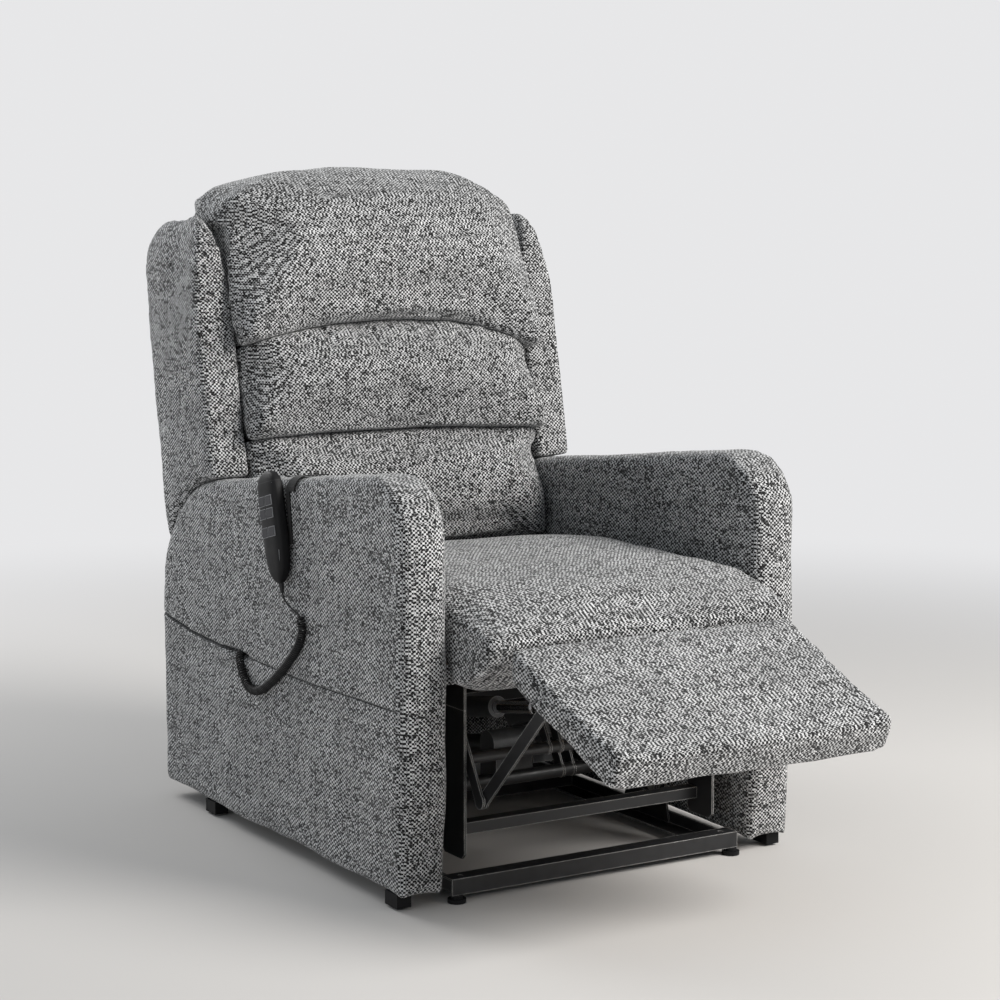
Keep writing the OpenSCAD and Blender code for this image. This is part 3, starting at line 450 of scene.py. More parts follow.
def wovenCloth(name, color, threads):
    material, tree, shader, coords = newMaterial(name, Roughness=0.9, Specular_IOR_Level=0.2,
                                                 Sheen_Weight=0.15)
    waves = []
    for direction in "XY":
        wave = texture(tree, "Wave", coords, Scale=threads / woven["threadsForScale"])
        wave.bands_direction = direction
        waves.append(wave.outputs["Fac"])
    vary(tree, shader, noisy(tree, coords, woven["dust"], 4.0), color, woven["tint"])
    bump(tree, shader, arithmetic(tree, "MAXIMUM", *waves), *woven["bump"])
    return material


finishes = {
    "tweed": tweedMaterial("tweedGrey"),
    # A much darker copy of the tweed, as painted shade inside the seams and the pocket slit
    "fold": tweedMaterial("tweedFoldShade", 0.22),
    # The second colour of each painted steel is its painted edge highlight
    "black_steel": paintedSteel("blackPaintedSteel", (0.015, 0.015, 0.016, 1), (0.55, 0.54, 0.52, 1)),
    "grey_motor": paintedSteel("greyMotorPaint", (0.12, 0.123, 0.127, 1), (0.5, 0.5, 0.5, 1), 0.42),
    "zinc_steel": plainMetal("zincPlatedSteel", (0.62, 0.62, 0.6, 1), 0.34, 160.0),
    "chrome_rod": plainMetal("polishedRod", (0.76, 0.76, 0.77, 1), 0.14, 90.0),
    "black_plastic": mouldedPlastic("blackMouldedPlastic", (0.006, 0.006, 0.0065, 1), 0.5, shine=0.16),
    "black_strap": wovenCloth("blackWebbing", (0.008, 0.008, 0.008, 1), 1600.0),
    "black_cord": mouldedPlastic("blackCordSheath", (0.007, 0.007, 0.0075, 1), 0.5, 2600.0, 0.06),
    "key_rubber": mouldedPlastic("keyRubber", (0.04, 0.04, 0.044, 1), 0.6, 2200.0, 0.1),
    # Grey for the key outlines, and as a painted highlight on the handset's joint
    "shell_joint": mouldedPlastic("greyMouldingAndJointHighlight", (0.24, 0.244, 0.25, 1), 0.5),
    "timber": timberMaterial("sawnTimber"),
    "deck_cloth": wovenCloth("deckCloth", (0.03, 0.03, 0.032, 1), 700.0)}
for part in frame["record"]["subparts"]:
    mesh = nodes[part["node"]].data
    mesh.materials.clear()
    mesh.materials.append(finishes[part["material_slot"]])
print("materials on", len(nodes), "CAD nodes")

# ---- Soft pieces
soft = {
    "merge": 0.00002, "relax": 0.5, "seedStep": (3.7, 1.3, 2.1), "cut": 0.00001, "seamHalf": 2.6,
    "seamReach": 0.016, "onSeam": 0.00005}
coverCloth = {
    "quality": 4, "mass": 0.3, "tension_stiffness": 12, "compression_stiffness": 12, "shear_stiffness": 4,
    "bending_stiffness": 0.6, "use_pressure": True}
coverFrames = 20


def step(value, low, high):
    t = np.clip((value - low) / (high - low), 0, 1)
    return t * t * (3 - 2 * t)


def hump(value, middle, wide):
    return np.exp(-((value - middle) / wide) ** 2)


# A merged copy of a CAD solid, evenly remeshed, as the start of a soft piece
def softStart(name, node, voxel, flip=False, before=None):
    bm = bmesh.new()
    bm.from_mesh(nodes[node].data)
    bmesh.ops.remove_doubles(bm, verts=bm.verts, dist=soft["merge"])
    if before:
        before(bm)
    if flip:
        bmesh.ops.scale(bm, vec=(-1, 1, 1), verts=bm.verts)
        bmesh.ops.translate(bm, vec=(2 * midX, 0, 0), verts=bm.verts)
        bmesh.ops.reverse_faces(bm, faces=bm.faces)
    obj = meshObject(name, bm, finishes["tweed"])
    remesh = obj.modifiers.new("even", "REMESH")
    remesh.mode = "VOXEL"
    remesh.voxel_size = voxel
    bakeModifiers(obj)
    return obj


def relax(obj, rounds):
    smooth = obj.modifiers.new("relax", "SMOOTH")
    smooth.factor = soft["relax"]
    smooth.iterations = rounds
    bakeModifiers(obj)


# Moves every point by function(x, y, z) in a local frame, in millimetres
def sculpt(obj, local, function):
    inverse = np.array(local.inverted())
    forward = np.array(local)
    inside = (points(obj.data) @ inverse[:3, :3].T + inverse[:3, 3]) * 1000
    moved = np.stack(function(*inside.T.copy()), axis=1) / 1000
    setPoints(obj.data, moved @ forward[:3, :3].T + forward[:3, 3])


# Soft unevenness of a filled cover, along the surface's own normals
def rumple(obj, size, height, seed):
    co = points(obj.data)
    offset = Vector([seed * share for share in soft["seedStep"]])
    amount = np.array([noise.noise(Vector(p) / size + offset) for p in co])
    setPoints(obj.data, co + points(obj.data, "normal") * amount[:, None] * height)


# Cloth with inner pressure, with the movement capped, then applied
def puff(obj, pressure, cap):
    before = points(obj.data)
    cloth = obj.modifiers.new("cover", "CLOTH")
    for name, value in coverCloth.items():
        setattr(cloth.settings, name, value)
    cloth.settings.uniform_pressure_force = pressure
    cloth.settings.effector_weights.gravity = 0
    cloth.collision_settings.use_collision = False
    cloth.point_cache.frame_start = 1
    cloth.point_cache.frame_end = coverFrames
    for number in range(1, coverFrames + 1):
        scene.frame_set(number)
    bakeModifiers(obj)
    scene.frame_set(1)
    move = points(obj.data) - before
    length = np.maximum(np.linalg.norm(move, axis=1), tiny)
    setPoints(obj.data, before + move * np.minimum(1, cap / 1000 / length)[:, None])


# Cuts the faces that are near to a plane along that plane
def cutNear(bm, middle, normal, reach):
    near = [f for f in bm.faces if abs((f.calc_center_median() - middle).dot(normal)) < reach]
    edges = dict.fromkeys(e for f in near for e in f.edges)
    verts = dict.fromkeys(v for f in near for v in f.verts)
    bmesh.ops.bisect_plane(bm, geom=[*near, *edges, *verts], dist=soft["cut"], plane_co=middle,
                           plane_no=normal)


def splitManySided(bm):
    bmesh.ops.triangulate(bm, faces=[f for f in bm.faces if len(f.verts) > 4])


# A stitched seam: a narrow groove where the surface crosses a plane of the local frame, all round
# or only in front of a level
def seam(obj, local, axis, level, depth=2.2, frontOf=None):
    middle, normal = axisPlane(local, axis, level)
    inverse = local.inverted()
    bm = bmesh.new()
    bm.from_mesh(obj.data)
    for offset in (-soft["seamHalf"], 0, soft["seamHalf"]):
        cutNear(bm, middle + normal * (offset / 1000), normal, soft["seamReach"])
    bm.normal_update()
    for v in bm.verts:
        onSeam = abs((v.co - middle).dot(normal)) < soft["onSeam"]
        if onSeam and (frontOf is None or (inverse @ v.co).y * 1000 < frontOf):
            v.co -= v.normal * (depth / 1000)
    splitManySided(bm)
    bm.to_mesh(obj.data)
    bm.free()


def finishSoft(obj, body, replaced):
    obj.data.shade_smooth()
    subsurf = obj.modifiers.new("smooth", "SUBSURF")
    subsurf.levels = 1
    subsurf.render_levels = 1
    place(obj, body, "tweed", replaced)
    print(obj.name, len(obj.data.polygons), "faces")


# ---- Handset cord: a straight lead, then the curly length that goes into the side pocket
cordSpec = {"wire": 3.0, "coil": 5.8, "pitch": 4.5, "turnPoints": 12, "leadSpacing": 3.0, "samples": 24}
leadPoints = [(-14.3, -73.2, 425.8), (-14, -77.5, 418), (-13, -85, 411.5), (-11.5, -95, 406),
              (-10, -106, 401.5), (-8.8, -115, 398), (-8.4, -119.6, 395.5)]
curlOut = -8.3
curlRun = [(-120, 395), (-126, 386), (-127.5, 373), (-122, 359), (-112, 345), (-95, 328.5), (-74, 311),
           (-50, 294), (-24, 277), (0, 263.5), (22, 254), (42, 249.5), (60, 251), (75, 259), (86, 272)]
curlEnd = [(-7.8, 95, 285), (-5, 103, 294), (0.5, 109, 299), (7, 112.5, 301)]
armFace = -(leftHigh.x - rightLow.x) * 500


# A point of the smooth curve through b and c, with a before them and d after
def between(a, b, c, d, t):
    squared = 2 * a - 5 * b + 4 * c - d
    cubed = 3 * b - a - 3 * c + d
    return 0.5 * (2 * b + (c - a) * t + squared * t ** 2 + cubed * t ** 3)


# Evenly spaced points along a smooth curve through points given from the arm's outer face
def smoothLine(places, spacing):
    line = [at(armFace + x, y, z) for x, y, z in places]
    ends = [2 * line[0] - line[1]] + line + [2 * line[-1] - line[-2]]
    samples = cordSpec["samples"]
    dense = [between(*four, k / samples) for four in zip(ends, ends[1:], ends[2:], ends[3:])
             for k in range(samples)]
    dense.append(line[-1])
    travelled = [0.0]
    for p, q in zip(dense, dense[1:]):
        travelled.append(travelled[-1] + (q - p).length)
    count = max(2, round(travelled[-1] / (spacing / 1000)))
    out, k = [], 0
    for i in range(count + 1):
        want = travelled[-1] * i / count
        while k < len(dense) - 2 and travelled[k + 1] < want:
            k += 1
        share = (want - travelled[k]) / max(travelled[k + 1] - travelled[k], tiny)
        out.append(dense[k].lerp(dense[k + 1], min(share, 1)))
    return out


def makeCord():
    turnPoints = cordSpec["turnPoints"]
    line = smoothLine(leadPoints, cordSpec["leadSpacing"])
    middle = smoothLine([(curlOut, y, z) for y, z in curlRun] + curlEnd, cordSpec["pitch"] / turnPoints)
    side = Vector((1, 0, 0))
    radius = cordSpec["coil"] / 1000
    for i, p in enumerate(middle):
        along = (middle[min(i + 1, len(middle) - 1)] - middle[max(i - 1, 0)]).normalized()
        side = (side - along * side.dot(along)).normalized()
        other = along.cross(side)
        turn = 2 * pi * i / turnPoints
        grow = min(1, i / turnPoints)  # the first turn opens from the lead
        line.append(p + (side * cos(turn) + other * sin(turn)) * radius * grow)
    curve = bpy.data.curves.new("handsetCord", "CURVE")
    curve.dimensions = "3D"
    spline = curve.splines.new("POLY")
    spline.points.add(len(line) - 1)
    for target, p in zip(spline.points, line):
        target.co = (*p, 1)
    curve.bevel_depth = cordSpec["wire"] / 2000
    curve.bevel_resolution = 1
    curve.use_fill_caps = True
    curve.materials.append(finishes["black_cord"])
    obj = addObject("handsetCord", curve)
    place(obj, "chassis", "black_cord", ["handset_lead", "handset_curly_cord"])


makeCord()

# ---- Handset: a rounded shell with a cap, a parting line and six outlined keys
# Along the handset, "widths" are half widths and "depths" whole ones. A joint has an axis, a level
# and half its width. "inJoint" and "sideways" pick the faces of a joint.
handset = {
    "top": (-27.0, 611.0), "lean": 14.0, "back": -358.3, "length": 176.0, "depth": 24.0,
    "widths": [(0, 11), (2, 17), (6, 23), (12, 28), (20, 30.6), (40, 31), (100, 31), (125, 29.6),
               (145, 27), (158, 22.5), (167, 16), (172.5, 10.5), (176, 5)],
    "depths": [(0, 8), (2, 12), (6, 16.5), (12, 20.5), (20, 23.2), (32, 24), (110, 24), (140, 23),
               (158, 20.5), (168, 16.5), (173, 12), (176, 7)],
    "rings": range(28, 168, 8), "sides": 48, "squareness": 3.6, "hardEdge": 38,
    "keyRows": (46.0, 66.0, 95.0), "keyAcross": 12.0, "key": (13.0, 18.0), "clear": 0.5, "well": (19.2, 30),
    "outline": 1.0, "outlineDepth": (21.5, 24.25), "inJoint": 0.9, "sideways": 0.9,
    "joints": {"shell_joint": (2, 21.6, 0.3), "black_cord": (0, 17.0, 0.45)}}
boot = {"sides": 20, "radii": (0.0031, 0.0046), "length": 0.0195, "past": 5.4}
lean = radians(handset["lean"])
handsetFrame = Matrix.Translation(at(handset["back"], *handset["top"])) @ Matrix((
    (0, 0, -1, 0), (-sin(lean), cos(lean), 0, 0), (-cos(lean), -sin(lean), 0, 0), (0, 0, 0, 1)))


def keyCorners():
    alongHalf = handset["key"][0] / 2 + handset["clear"]
    acrossHalf = handset["key"][1] / 2 + handset["clear"]
    for u in handset["keyRows"]:
        for v in (-handset["keyAcross"], handset["keyAcross"]):
            yield u - alongHalf, v - acrossHalf, u + alongHalf, v + acrossHalf


def cutWells(obj):
    bm = bmesh.new()
    floor, above = handset["well"]
    for a, b, c, d in keyCorners():
        boxMesh(bm, (a, b, floor), (c, d, above), handsetFrame)
    bmesh.ops.recalc_face_normals(bm, faces=bm.faces)
    cutter = meshObject("cutter", bm, finishes["black_plastic"])
    cut = obj.modifiers.new("cut", "BOOLEAN")
    cut.operation = "DIFFERENCE"
    cut.solver = "EXACT"
    cut.object = cutter
    bakeModifiers(obj)
    mesh = cutter.data
    bpy.data.objects.remove(cutter)
    bpy.data.meshes.remove(mesh)


def handsetRing(bm, u):
    half = float(np.interp(u, *zip(*handset["widths"])))
    deep = float(np.interp(u, *zip(*handset["depths"]))) / 2
    power = 2 / handset["squareness"]
    ring = []
    for k in range(handset["sides"]):
        turn = 2 * pi * k / handset["sides"]
        v, w = (size * abs(wave) ** power * (1 if wave > 0 else -1)
                for size, wave in ((half, cos(turn)), (deep, sin(turn))))
        local = Vector((u / 1000, v / 1000, (handset["depth"] / 2 + w) / 1000))
        ring.append(bm.verts.new(handsetFrame @ local))
    return ring


# The joint between the two half shells as a lighter grey strip, a painted highlight on its ridge, and the
# line under the cap as a black strip, each in its own finish
def markJoints(mesh):
    bm = bmesh.new()
    bm.from_mesh(mesh)
    for index, (axis, level, reach) in enumerate(handset["joints"].values(), 1):
        middle, normal = axisPlane(handsetFrame, axis, level)
        for offset in (-reach, reach):
            cutAll(bm, middle + normal * (offset / 1000), normal)
        for face in bm.faces:
            near = abs((face.calc_center_median() - middle).dot(normal)) < reach / 1000 * handset["inJoint"]
            if near and abs(face.normal.dot(normal)) < handset["sideways"]:
                face.material_index = index
    bm.to_mesh(mesh)
    bm.free()
    for finish in handset["joints"]:
        mesh.materials.append(finishes[finish])


def makeShell():
    bm = bmesh.new()
    sides = handset["sides"]
    rings = [handsetRing(bm, u) for u in sorted({p[0] for p in handset["widths"]} | set(handset["rings"]))]
    for a, b in zip(rings, rings[1:]):
        for k in range(sides):
            bm.faces.new((a[k], a[(k + 1) % sides], b[(k + 1) % sides], b[k]))
    bm.faces.new(rings[0])
    bm.faces.new(list(reversed(rings[-1])))
    bmesh.ops.recalc_face_normals(bm, faces=bm.faces)
    obj = meshObject("handsetShell", bm, finishes["black_plastic"])
    cutWells(obj)
    markJoints(obj.data)
    sharpen(obj.data, handset["hardEdge"])
    place(obj, "chassis", "black_plastic", ["handset"])


# The tapered sleeve where the lead leaves the handset
def makeBoot():
    bm = bmesh.new()
    cone = bmesh.ops.create_cone(bm, cap_ends=True, segments=boot["sides"], radius1=boot["radii"][0],
                                 radius2=boot["radii"][1], depth=boot["length"])["verts"]
    tail = handsetFrame @ Vector(((handset["length"] + boot["past"]) / 1000, 0, handset["depth"] / 2000))
    along = handsetFrame.to_3x3() @ Vector((-1, 0, 0))
    turned = along.to_track_quat("Z", "Y").to_matrix().to_4x4()
    bmesh.ops.transform(bm, verts=cone, matrix=Matrix.Translation(tail) @ turned)
    obj = meshObject("handsetBoot", bm, finishes["black_cord"])
    sharpen(obj.data, handset["hardEdge"])
    place(obj, "chassis", "black_plastic")


def makeOutlines():
    bm = bmesh.new()
    w = handset["outline"]
    floor, top = handset["outlineDepth"]
    for a, b, c, d in keyCorners():
        for low, high in (((a - w, b - w), (a, d + w)), ((c, b - w), (c + w, d + w)),
                          ((a, b - w), (c, b)), ((a, d), (c, d + w))):
            boxMesh(bm, (*low, floor), (*high, top), handsetFrame)
    bmesh.ops.recalc_face_normals(bm, faces=bm.faces)
    place(meshObject("keyOutlines", bm, finishes["shell_joint"]), "chassis", "black_plastic")


makeShell()
makeBoot()
makeOutlines()
print("handset made")

# ---- Arms: one closed upholstered box each, with a seam, and a side pocket on the arm that holds the handset
armSpec = {
    "voxel": 0.008, "outer": 356.0, "inner": 278.0, "foot": 24, "tall": 600, "sideSwell": 2.0,
    "roundness": 2.2, "frontRange": (330, 424), "frontPush": 6.0, "frontSwell": 8.0, "frontRise": (20, 200),
    "hemRange": (24, 60), "hemWave": 0.5, "hemLength": 61.0, "earY": -424, "earWide": 26, "earOuter": 8.0,
    "earInner": 13.0}
# The seam's groove is made at one level, where the seam is in CAD, and then bent to the seam's course
groove = {
    "level": 297.5, "course": [(-424, 298), (-104, 292), (151, 297), (300, 305), (424, 322)], "bend": 120,
    "reach": 0.02, "cuts": (-2.4, -0.9, 0, 0.9, 2.4), "pocketCuts": (-10, -6, 6, 10), "depth": 4.5,
    "half": 2.4, "end": 396, "fade": 20, "facing": 0.3, "foldHalf": 0.85, "slitShadeHalf": 2.3,
    "foldFace": 0.33, "foldEnd": 423}
slit = {
    "from": 96, "to": 423, "depth": 14, "half": 2.4, "start": 30, "stop": 14, "lip": 2.2, "lipAt": -5,
    "lipHalf": 6, "lipBelow": -0.5}
pocket = {
    "from": 70, "to": 190, "depth": 15, "half": 6.0, "least": 0.5, "mouth": 0.6, "lip": 3.0, "lipAt": -9,
    "lipHalf": 9}


# The lower edge of the upholstery goes down to that of the side panel
def stretchDown(bm):
    low = min(v.co.z for v in bm.verts)
    for v in bm.verts:
        if v.co.z < low + 0.0005:
            v.co.z = rightLow.z


def armForm(sign):
    spec = armSpec
    half = (spec["outer"] - spec["inner"]) / 2
    middle = spec["inner"] + half

    def form(x, y, z):
        across = (x * sign - middle) / half
        swell = np.sin(pi * np.clip((z - spec["foot"]) / spec["tall"], 0, 1))
        x = x + sign * across * spec["sideSwell"] * swell
        push = spec["frontPush"] + (1 - np.abs(across) ** spec["roundness"]) * spec["frontSwell"]
        y = y - step(-y, *spec["frontRange"]) * push * step(z, *spec["frontRise"])
        low = 1 - step(z, *spec["hemRange"])
        ear = hump(y, spec["earY"], spec["earWide"]) * low
        z = z - ear * np.abs(across) ** 3 * np.where(across > 0, spec["earOuter"], spec["earInner"])
        z = z - low * spec["hemWave"] * np.sin(y / spec["hemLength"] + sign) * (1 - ear)
        return x, y, z
    return form


# The strap of the handset's hook presses into the arm it hangs on
strap = {
    "middle": -78.0, "half": 16.0, "blend": 16.0, "radius": 21.5, "rise": 6.7, "top": 597.0, "edge": 22.0,
    "over": 52, "down": 90}
strapFrame = (Matrix.Translation(at(strap["edge"] - armSpec["outer"], 0, strap["top"] - strap["edge"]))
              @ Matrix.Rotation(radians(-strap["rise"]), 4, "X"))


def pressStrap(x, y, z):
    limit = strap["radius"]
    share = 1 - step(np.abs(y - strap["middle"]), strap["half"], strap["half"] + strap["blend"])
    flat = (x >= 0) & (x < strap["over"]) & (z > 0)
    side = (z < 0) & (z > -strap["down"]) & (x < 0)
    corner = (x < 0) & (z >= 0)
    z = np.where(flat, z - share * np.maximum(0, z - limit), z)
    x = np.where(side, x + share * np.maximum(0, -x - limit), x)
    radius = np.sqrt(x * x + z * z)
    shrink = np.where(corner, 1 - share * np.maximum(0, radius - limit) / np.maximum(radius, 1), 1)
    return x * shrink, y, z * shrink


# A share that falls evenly from 1 to 0 at a distance
def fall(distance, reach):
    return max(0.0, 1 - abs(distance) / reach)


def seamLift(v):
    height = float(np.interp((v.co.y - midY) * 1000, *zip(*groove["course"])))
    return (height - groove["level"]) * fall(v.co.z * 1000 - groove["level"], groove["bend"]) / 1000


# How deep the cover goes in, less how far it stands out, at a place on the arm's outer face
def grooveDepth(y, z, facing, withPocket):
    depth = groove["depth"] * fall(z, groove["half"]) * facing
    if abs(y) > groove["end"]:
        depth *= fall(abs(y) - groove["end"], groove["fade"])
    lip = 0.0
    if withPocket and facing > groove["facing"]:
        if slit["from"] < y < slit["to"]:
            ends = min(1.0, (y - slit["from"]) / slit["start"], (slit["to"] - y) / slit["stop"])
            depth = max(depth, slit["depth"] * ends * fall(z, slit["half"]))
            if z < slit["lipBelow"]:
                lip += slit["lip"] * ends * fall(z - slit["lipAt"], slit["lipHalf"])
        if pocket["from"] < y < pocket["to"]:
            gape = sin(pi * (y - pocket["from"]) / (pocket["to"] - pocket["from"])) ** pocket["mouth"]
            inside = max(0.0, 1 - (abs(z) / (pocket["half"] * gape + pocket["least"])) ** 2)
            depth = max(depth, pocket["depth"] * inside ** 0.5 * gape)
            if z < 0:
                lip += pocket["lip"] * gape * fall(z - pocket["lipAt"], pocket["lipHalf"])
    return depth - lip


def seamGroove(obj, sign, withPocket):
    bm = bmesh.new()
    bm.from_mesh(obj.data)
    for v in bm.verts:
        v.co.z -= seamLift(v)
    for level in sorted(groove["cuts"] + (groove["pocketCuts"] if withPocket else ())):
        cutNear(bm, Vector((0, 0, (groove["level"] + level) / 1000)), up, groove["reach"])
    bm.normal_update()
    for v in bm.verts:
        place = ((v.co.y - midY) * 1000, v.co.z * 1000 - groove["level"])
        v.co.x -= sign * grooveDepth(*place, max(0.0, v.normal.x * sign), withPocket) / 1000
    # Groove faces on the outer face take the darker tweed as painted shade of the fold, wider along the slit
    for face in bm.faces:
        c = face.calc_center_median()
        y = (c.y - midY) * 1000
        inSlit = withPocket and slit["from"] < y < slit["to"]
        half = groove["slitShadeHalf" if inSlit else "foldHalf"]
        onFace = (c.x - midX) * sign > groove["foldFace"] and abs(y) < groove["foldEnd"]
        if onFace and abs(c.z * 1000 - groove["level"]) < half:
            face.material_index = 1
    for v in bm.verts:
        v.co.z += seamLift(v)
    splitManySided(bm)
    bm.to_mesh(obj.data)
    bm.free()
    obj.data.materials.append(finishes["fold"])


def makeArm(name, sign, seeds, replaced):
    obj = softStart(name, "arm_pad_left", armSpec["voxel"], flip=sign < 0, before=stretchDown)
    relax(obj, 5)
    sculpt(obj, chairFrame, armForm(sign))
    rumple(obj, 0.11, 0.0035, seeds[0])
    rumple(obj, 0.045, 0.0012, seeds[1])
    withHandset = sign < 0
    if withHandset:
        sculpt(obj, strapFrame, pressStrap)
    seamGroove(obj, sign, withHandset)
    finishSoft(obj, "chassis", replaced)


makeArm("armRight", -1, (8, 2), ["arm_pad_right", "side_panel_right"])
makeArm("armLeft", 1, (3, 5), ["arm_pad_left", "side_panel_left"])

# ---- Seat cushion
seatSpec = {
    "voxel": 0.008, "pressure": 3.0, "cap": 8, "half": 275, "roundness": 2.4, "crown": 5.0,
    "crownFront": (-560, -430), "crownRear": (-40, 165), "topRange": (400, 445), "rearDrop": 23.0,
    "rearRange": (-110, 150), "foldY": -500, "foldWide": 26, "foldDepth": 3.0, "noseRange": (360, 430),
    "cornerRange": (200, 262), "cornerOut": 9.0, "cornerTop": (400, 440), "rightDrop": 11.0,
    "leftDrop": -5.0, "armEnd": -432, "betweenArms": 276.5, "beforeArms": 274, "seamX": 247,
    "seamFrontOf": -436}


def seatForm(x, y, z):
    spec = seatSpec
    wide = 1 - np.clip(np.abs(x) / spec["half"], 0, 1) ** spec["roundness"]
    middle = step(y, *spec["crownFront"]) * (1 - step(y, *spec["crownRear"]))
    top = step(z, *spec["topRange"])
    z = z + spec["crown"] * wide * middle * top
    z = z - spec["rearDrop"] * step(y, *spec["rearRange"]) * top
    z = z - spec["foldDepth"] * (hump(y, spec["foldY"], spec["foldWide"]) * top)
    corner = step(-y, *spec["noseRange"]) * step(np.abs(x), *spec["cornerRange"])
    x = x + np.sign(x) * corner * spec["cornerOut"]
    drop = np.where(x < 0, spec["rightDrop"], spec["leftDrop"])
    z = z - drop * corner * step(z, *spec["cornerTop"])
    limit = np.where(y > spec["armEnd"], spec["betweenArms"], spec["beforeArms"])
    return np.clip(x, -limit, limit), y, z


def makeSeat():
    obj = softStart("seatCushion", "seat_cushion", seatSpec["voxel"])
    relax(obj, 6)
    sculpt(obj, chairFrame, seatForm)
    puff(obj, seatSpec["pressure"], seatSpec["cap"])
    rumple(obj, 0.13, 0.004, 11)
    rumple(obj, 0.05, 0.0015, 12)
    for side in (-1, 1):
        seam(obj, chairFrame, 0, side * seatSpec["seamX"], frontOf=seatSpec["seamFrontOf"])
    finishSoft(obj, "chassis", ["seat_cushion"])


makeSeat()

railWrap = {"x": (226.0, 273.0), "y": (-414.5, -412.05), "z": (328.8, 359.2), "edge": 0.0009}


# The cover fabric folded over the front ends of the seat's side rails
def wrapRails():
    bm = bmesh.new()
    for side in (-1, 1):
        across = sorted(side * x for x in railWrap["x"])
        low, high = zip(across, railWrap["y"], railWrap["z"])
        boxMesh(bm, low, high, chairFrame)
    bmesh.ops.bevel(bm, geom=bm.edges[:], offset=railWrap["edge"], segments=2, profile=0.5, affect="EDGES",
                    material=-1)
    wrap = meshObject("railWraps", bm, finishes["tweed"])
    wrap.data.shade_smooth()
    place(wrap, "chassis", "tweed")


wrapRails()

# ---- Back cushions
creases = {
    "low": 275.0, "high": 464.0, "arch": 37.0, "wide": 283.0, "reach": 26.0, "fill": 9.0,
    "frontRange": (20, 80), "gap": 0.4}
backSpec = {
    "voxel": 0.007, "pressure": 3.0, "cap": 14, "rear": 59.7, "front": -157.0, "half": 285,
    "sineRange": (0.08, 0.92), "wingFront": -93.0, "wingTop": 640, "wide": 282.6, "armTop": 235,
    "betweenArms": 276.5, "seamX": 258, "seamDepth": 1.6, "seamFrontOf": -60}


# Narrows a cushion to the front, by one share at its foot and another at its top, and swells it
def backForm(low, high, narrowLow, narrowHigh, bulge):
    def form(x, y, z):
        depth = np.clip((backSpec["rear"] - y) / (backSpec["rear"] - backSpec["front"]), 0, 1)
        narrow = narrowLow + (narrowHigh - narrowLow) * step(z, low, high)
        x = x * (1 - narrow * depth ** 6)
        crown = 1 - np.clip(np.abs(x) / backSpec["half"], 0, 1) ** 2
        rise = np.clip((z - low) / (high - low), *backSpec["sineRange"])
        return x, y - bulge * crown * depth ** 2 * np.sin(pi * rise), z
    return form


# The head swells out over the wings, one corner fuller than the other
headSpec = {
    "body": backForm(430, 742, -0.2, 0.3, 4), "rearWider": 0.24, "rearRange": (-20, 55),
    "rearTop": (615, 690), "overRange": (625, 665), "overY": -10, "overWide": 80, "cornerRange": (150, 280),
    "rightLift": 11.0, "leftLift": -13.0, "shoulder": 7, "roundFrom": 170, "roundWide": 105,
    "roundMost": 1.1, "roundPower": 1.8, "rightRound": 20.0, "leftRound": 40.0, "roundRise": (600, 700),
    "roundFront": (-10, 70)}


def headForm(x, y, z):
    spec = headSpec
    x, y, z = spec["body"](x, y, z)
    x = x * (1 + spec["rearWider"] * step(y, *spec["rearRange"]) * (1 - step(z, *spec["rearTop"])))
    over = step(z, *spec["overRange"]) * hump(y, spec["overY"], spec["overWide"])
    over = over * step(np.abs(x), *spec["cornerRange"])
    z = z + over * np.where(x < 0, spec["rightLift"], spec["leftLift"])
    x = x - np.where(x < 0, spec["shoulder"], 0) * over
    rounding = np.clip((np.abs(x) - spec["roundFrom"]) / spec["roundWide"], 0, spec["roundMost"])
    rounding = rounding ** spec["roundPower"] * step(z, *spec["roundRise"]) * step(-y, *spec["roundFront"])
    return x, y, z - np.where(x < 0, spec["rightRound"], spec["leftRound"]) * rounding


middleForm = backForm(278, 465, -0.17, 0.3, 5)

# The lumbar cushion's front goes wider behind the arms and reaches lower behind the seat
lumbarSpec = {
    "body": backForm(90, 278, -0.13, -0.08, 3), "sideOut": 20.0, "sideRange": (170, 265),
    "sideFall": (-250, -120), "sideFront": (20, 90), "drop": 18.0, "dropFall": (-150, -105),
    "dropFront": (20, 70)}


def lumbarForm(x, y, z):
    spec = lumbarSpec
    x, y, z = spec["body"](x, y, z)
    side = step(np.abs(x), *spec["sideRange"]) * step(-z, *spec["sideFall"])
    y = y - spec["sideOut"] * side * step(-y, *spec["sideFront"])
    return x, y, z - spec["drop"] * step(-z, *spec["dropFall"]) * step(-y, *spec["dropFront"])


# Keeps a back cushion between the wings, and between the arms lower down
def betweenWings(x, y, z):
    inside = (y > backSpec["wingFront"]) & (z < backSpec["wingTop"])
    x = np.where(inside, np.clip(x, -backSpec["wide"], backSpec["wide"]), x)
    low = z < backSpec["armTop"]
    return np.where(low, np.clip(x, -backSpec["betweenArms"], backSpec["betweenArms"]), x), y, z


# The two creases drop towards their ends, more on the left-hand arm's side
droopSpec = {
    "front": (-40, 60), "most": 1.1, "upper": 25.0, "upperFrom": 130, "upperOver": 130, "upperPower": 1.6,
    "upperAt": 455, "upperWide": 60, "left": 13.0, "leftFrom": 60, "leftOver": 210, "leftPower": 1.3,
    "right": 6.0, "rightFrom": 150, "rightOver": 125, "lowerAt": 275, "lowerWide": 55}


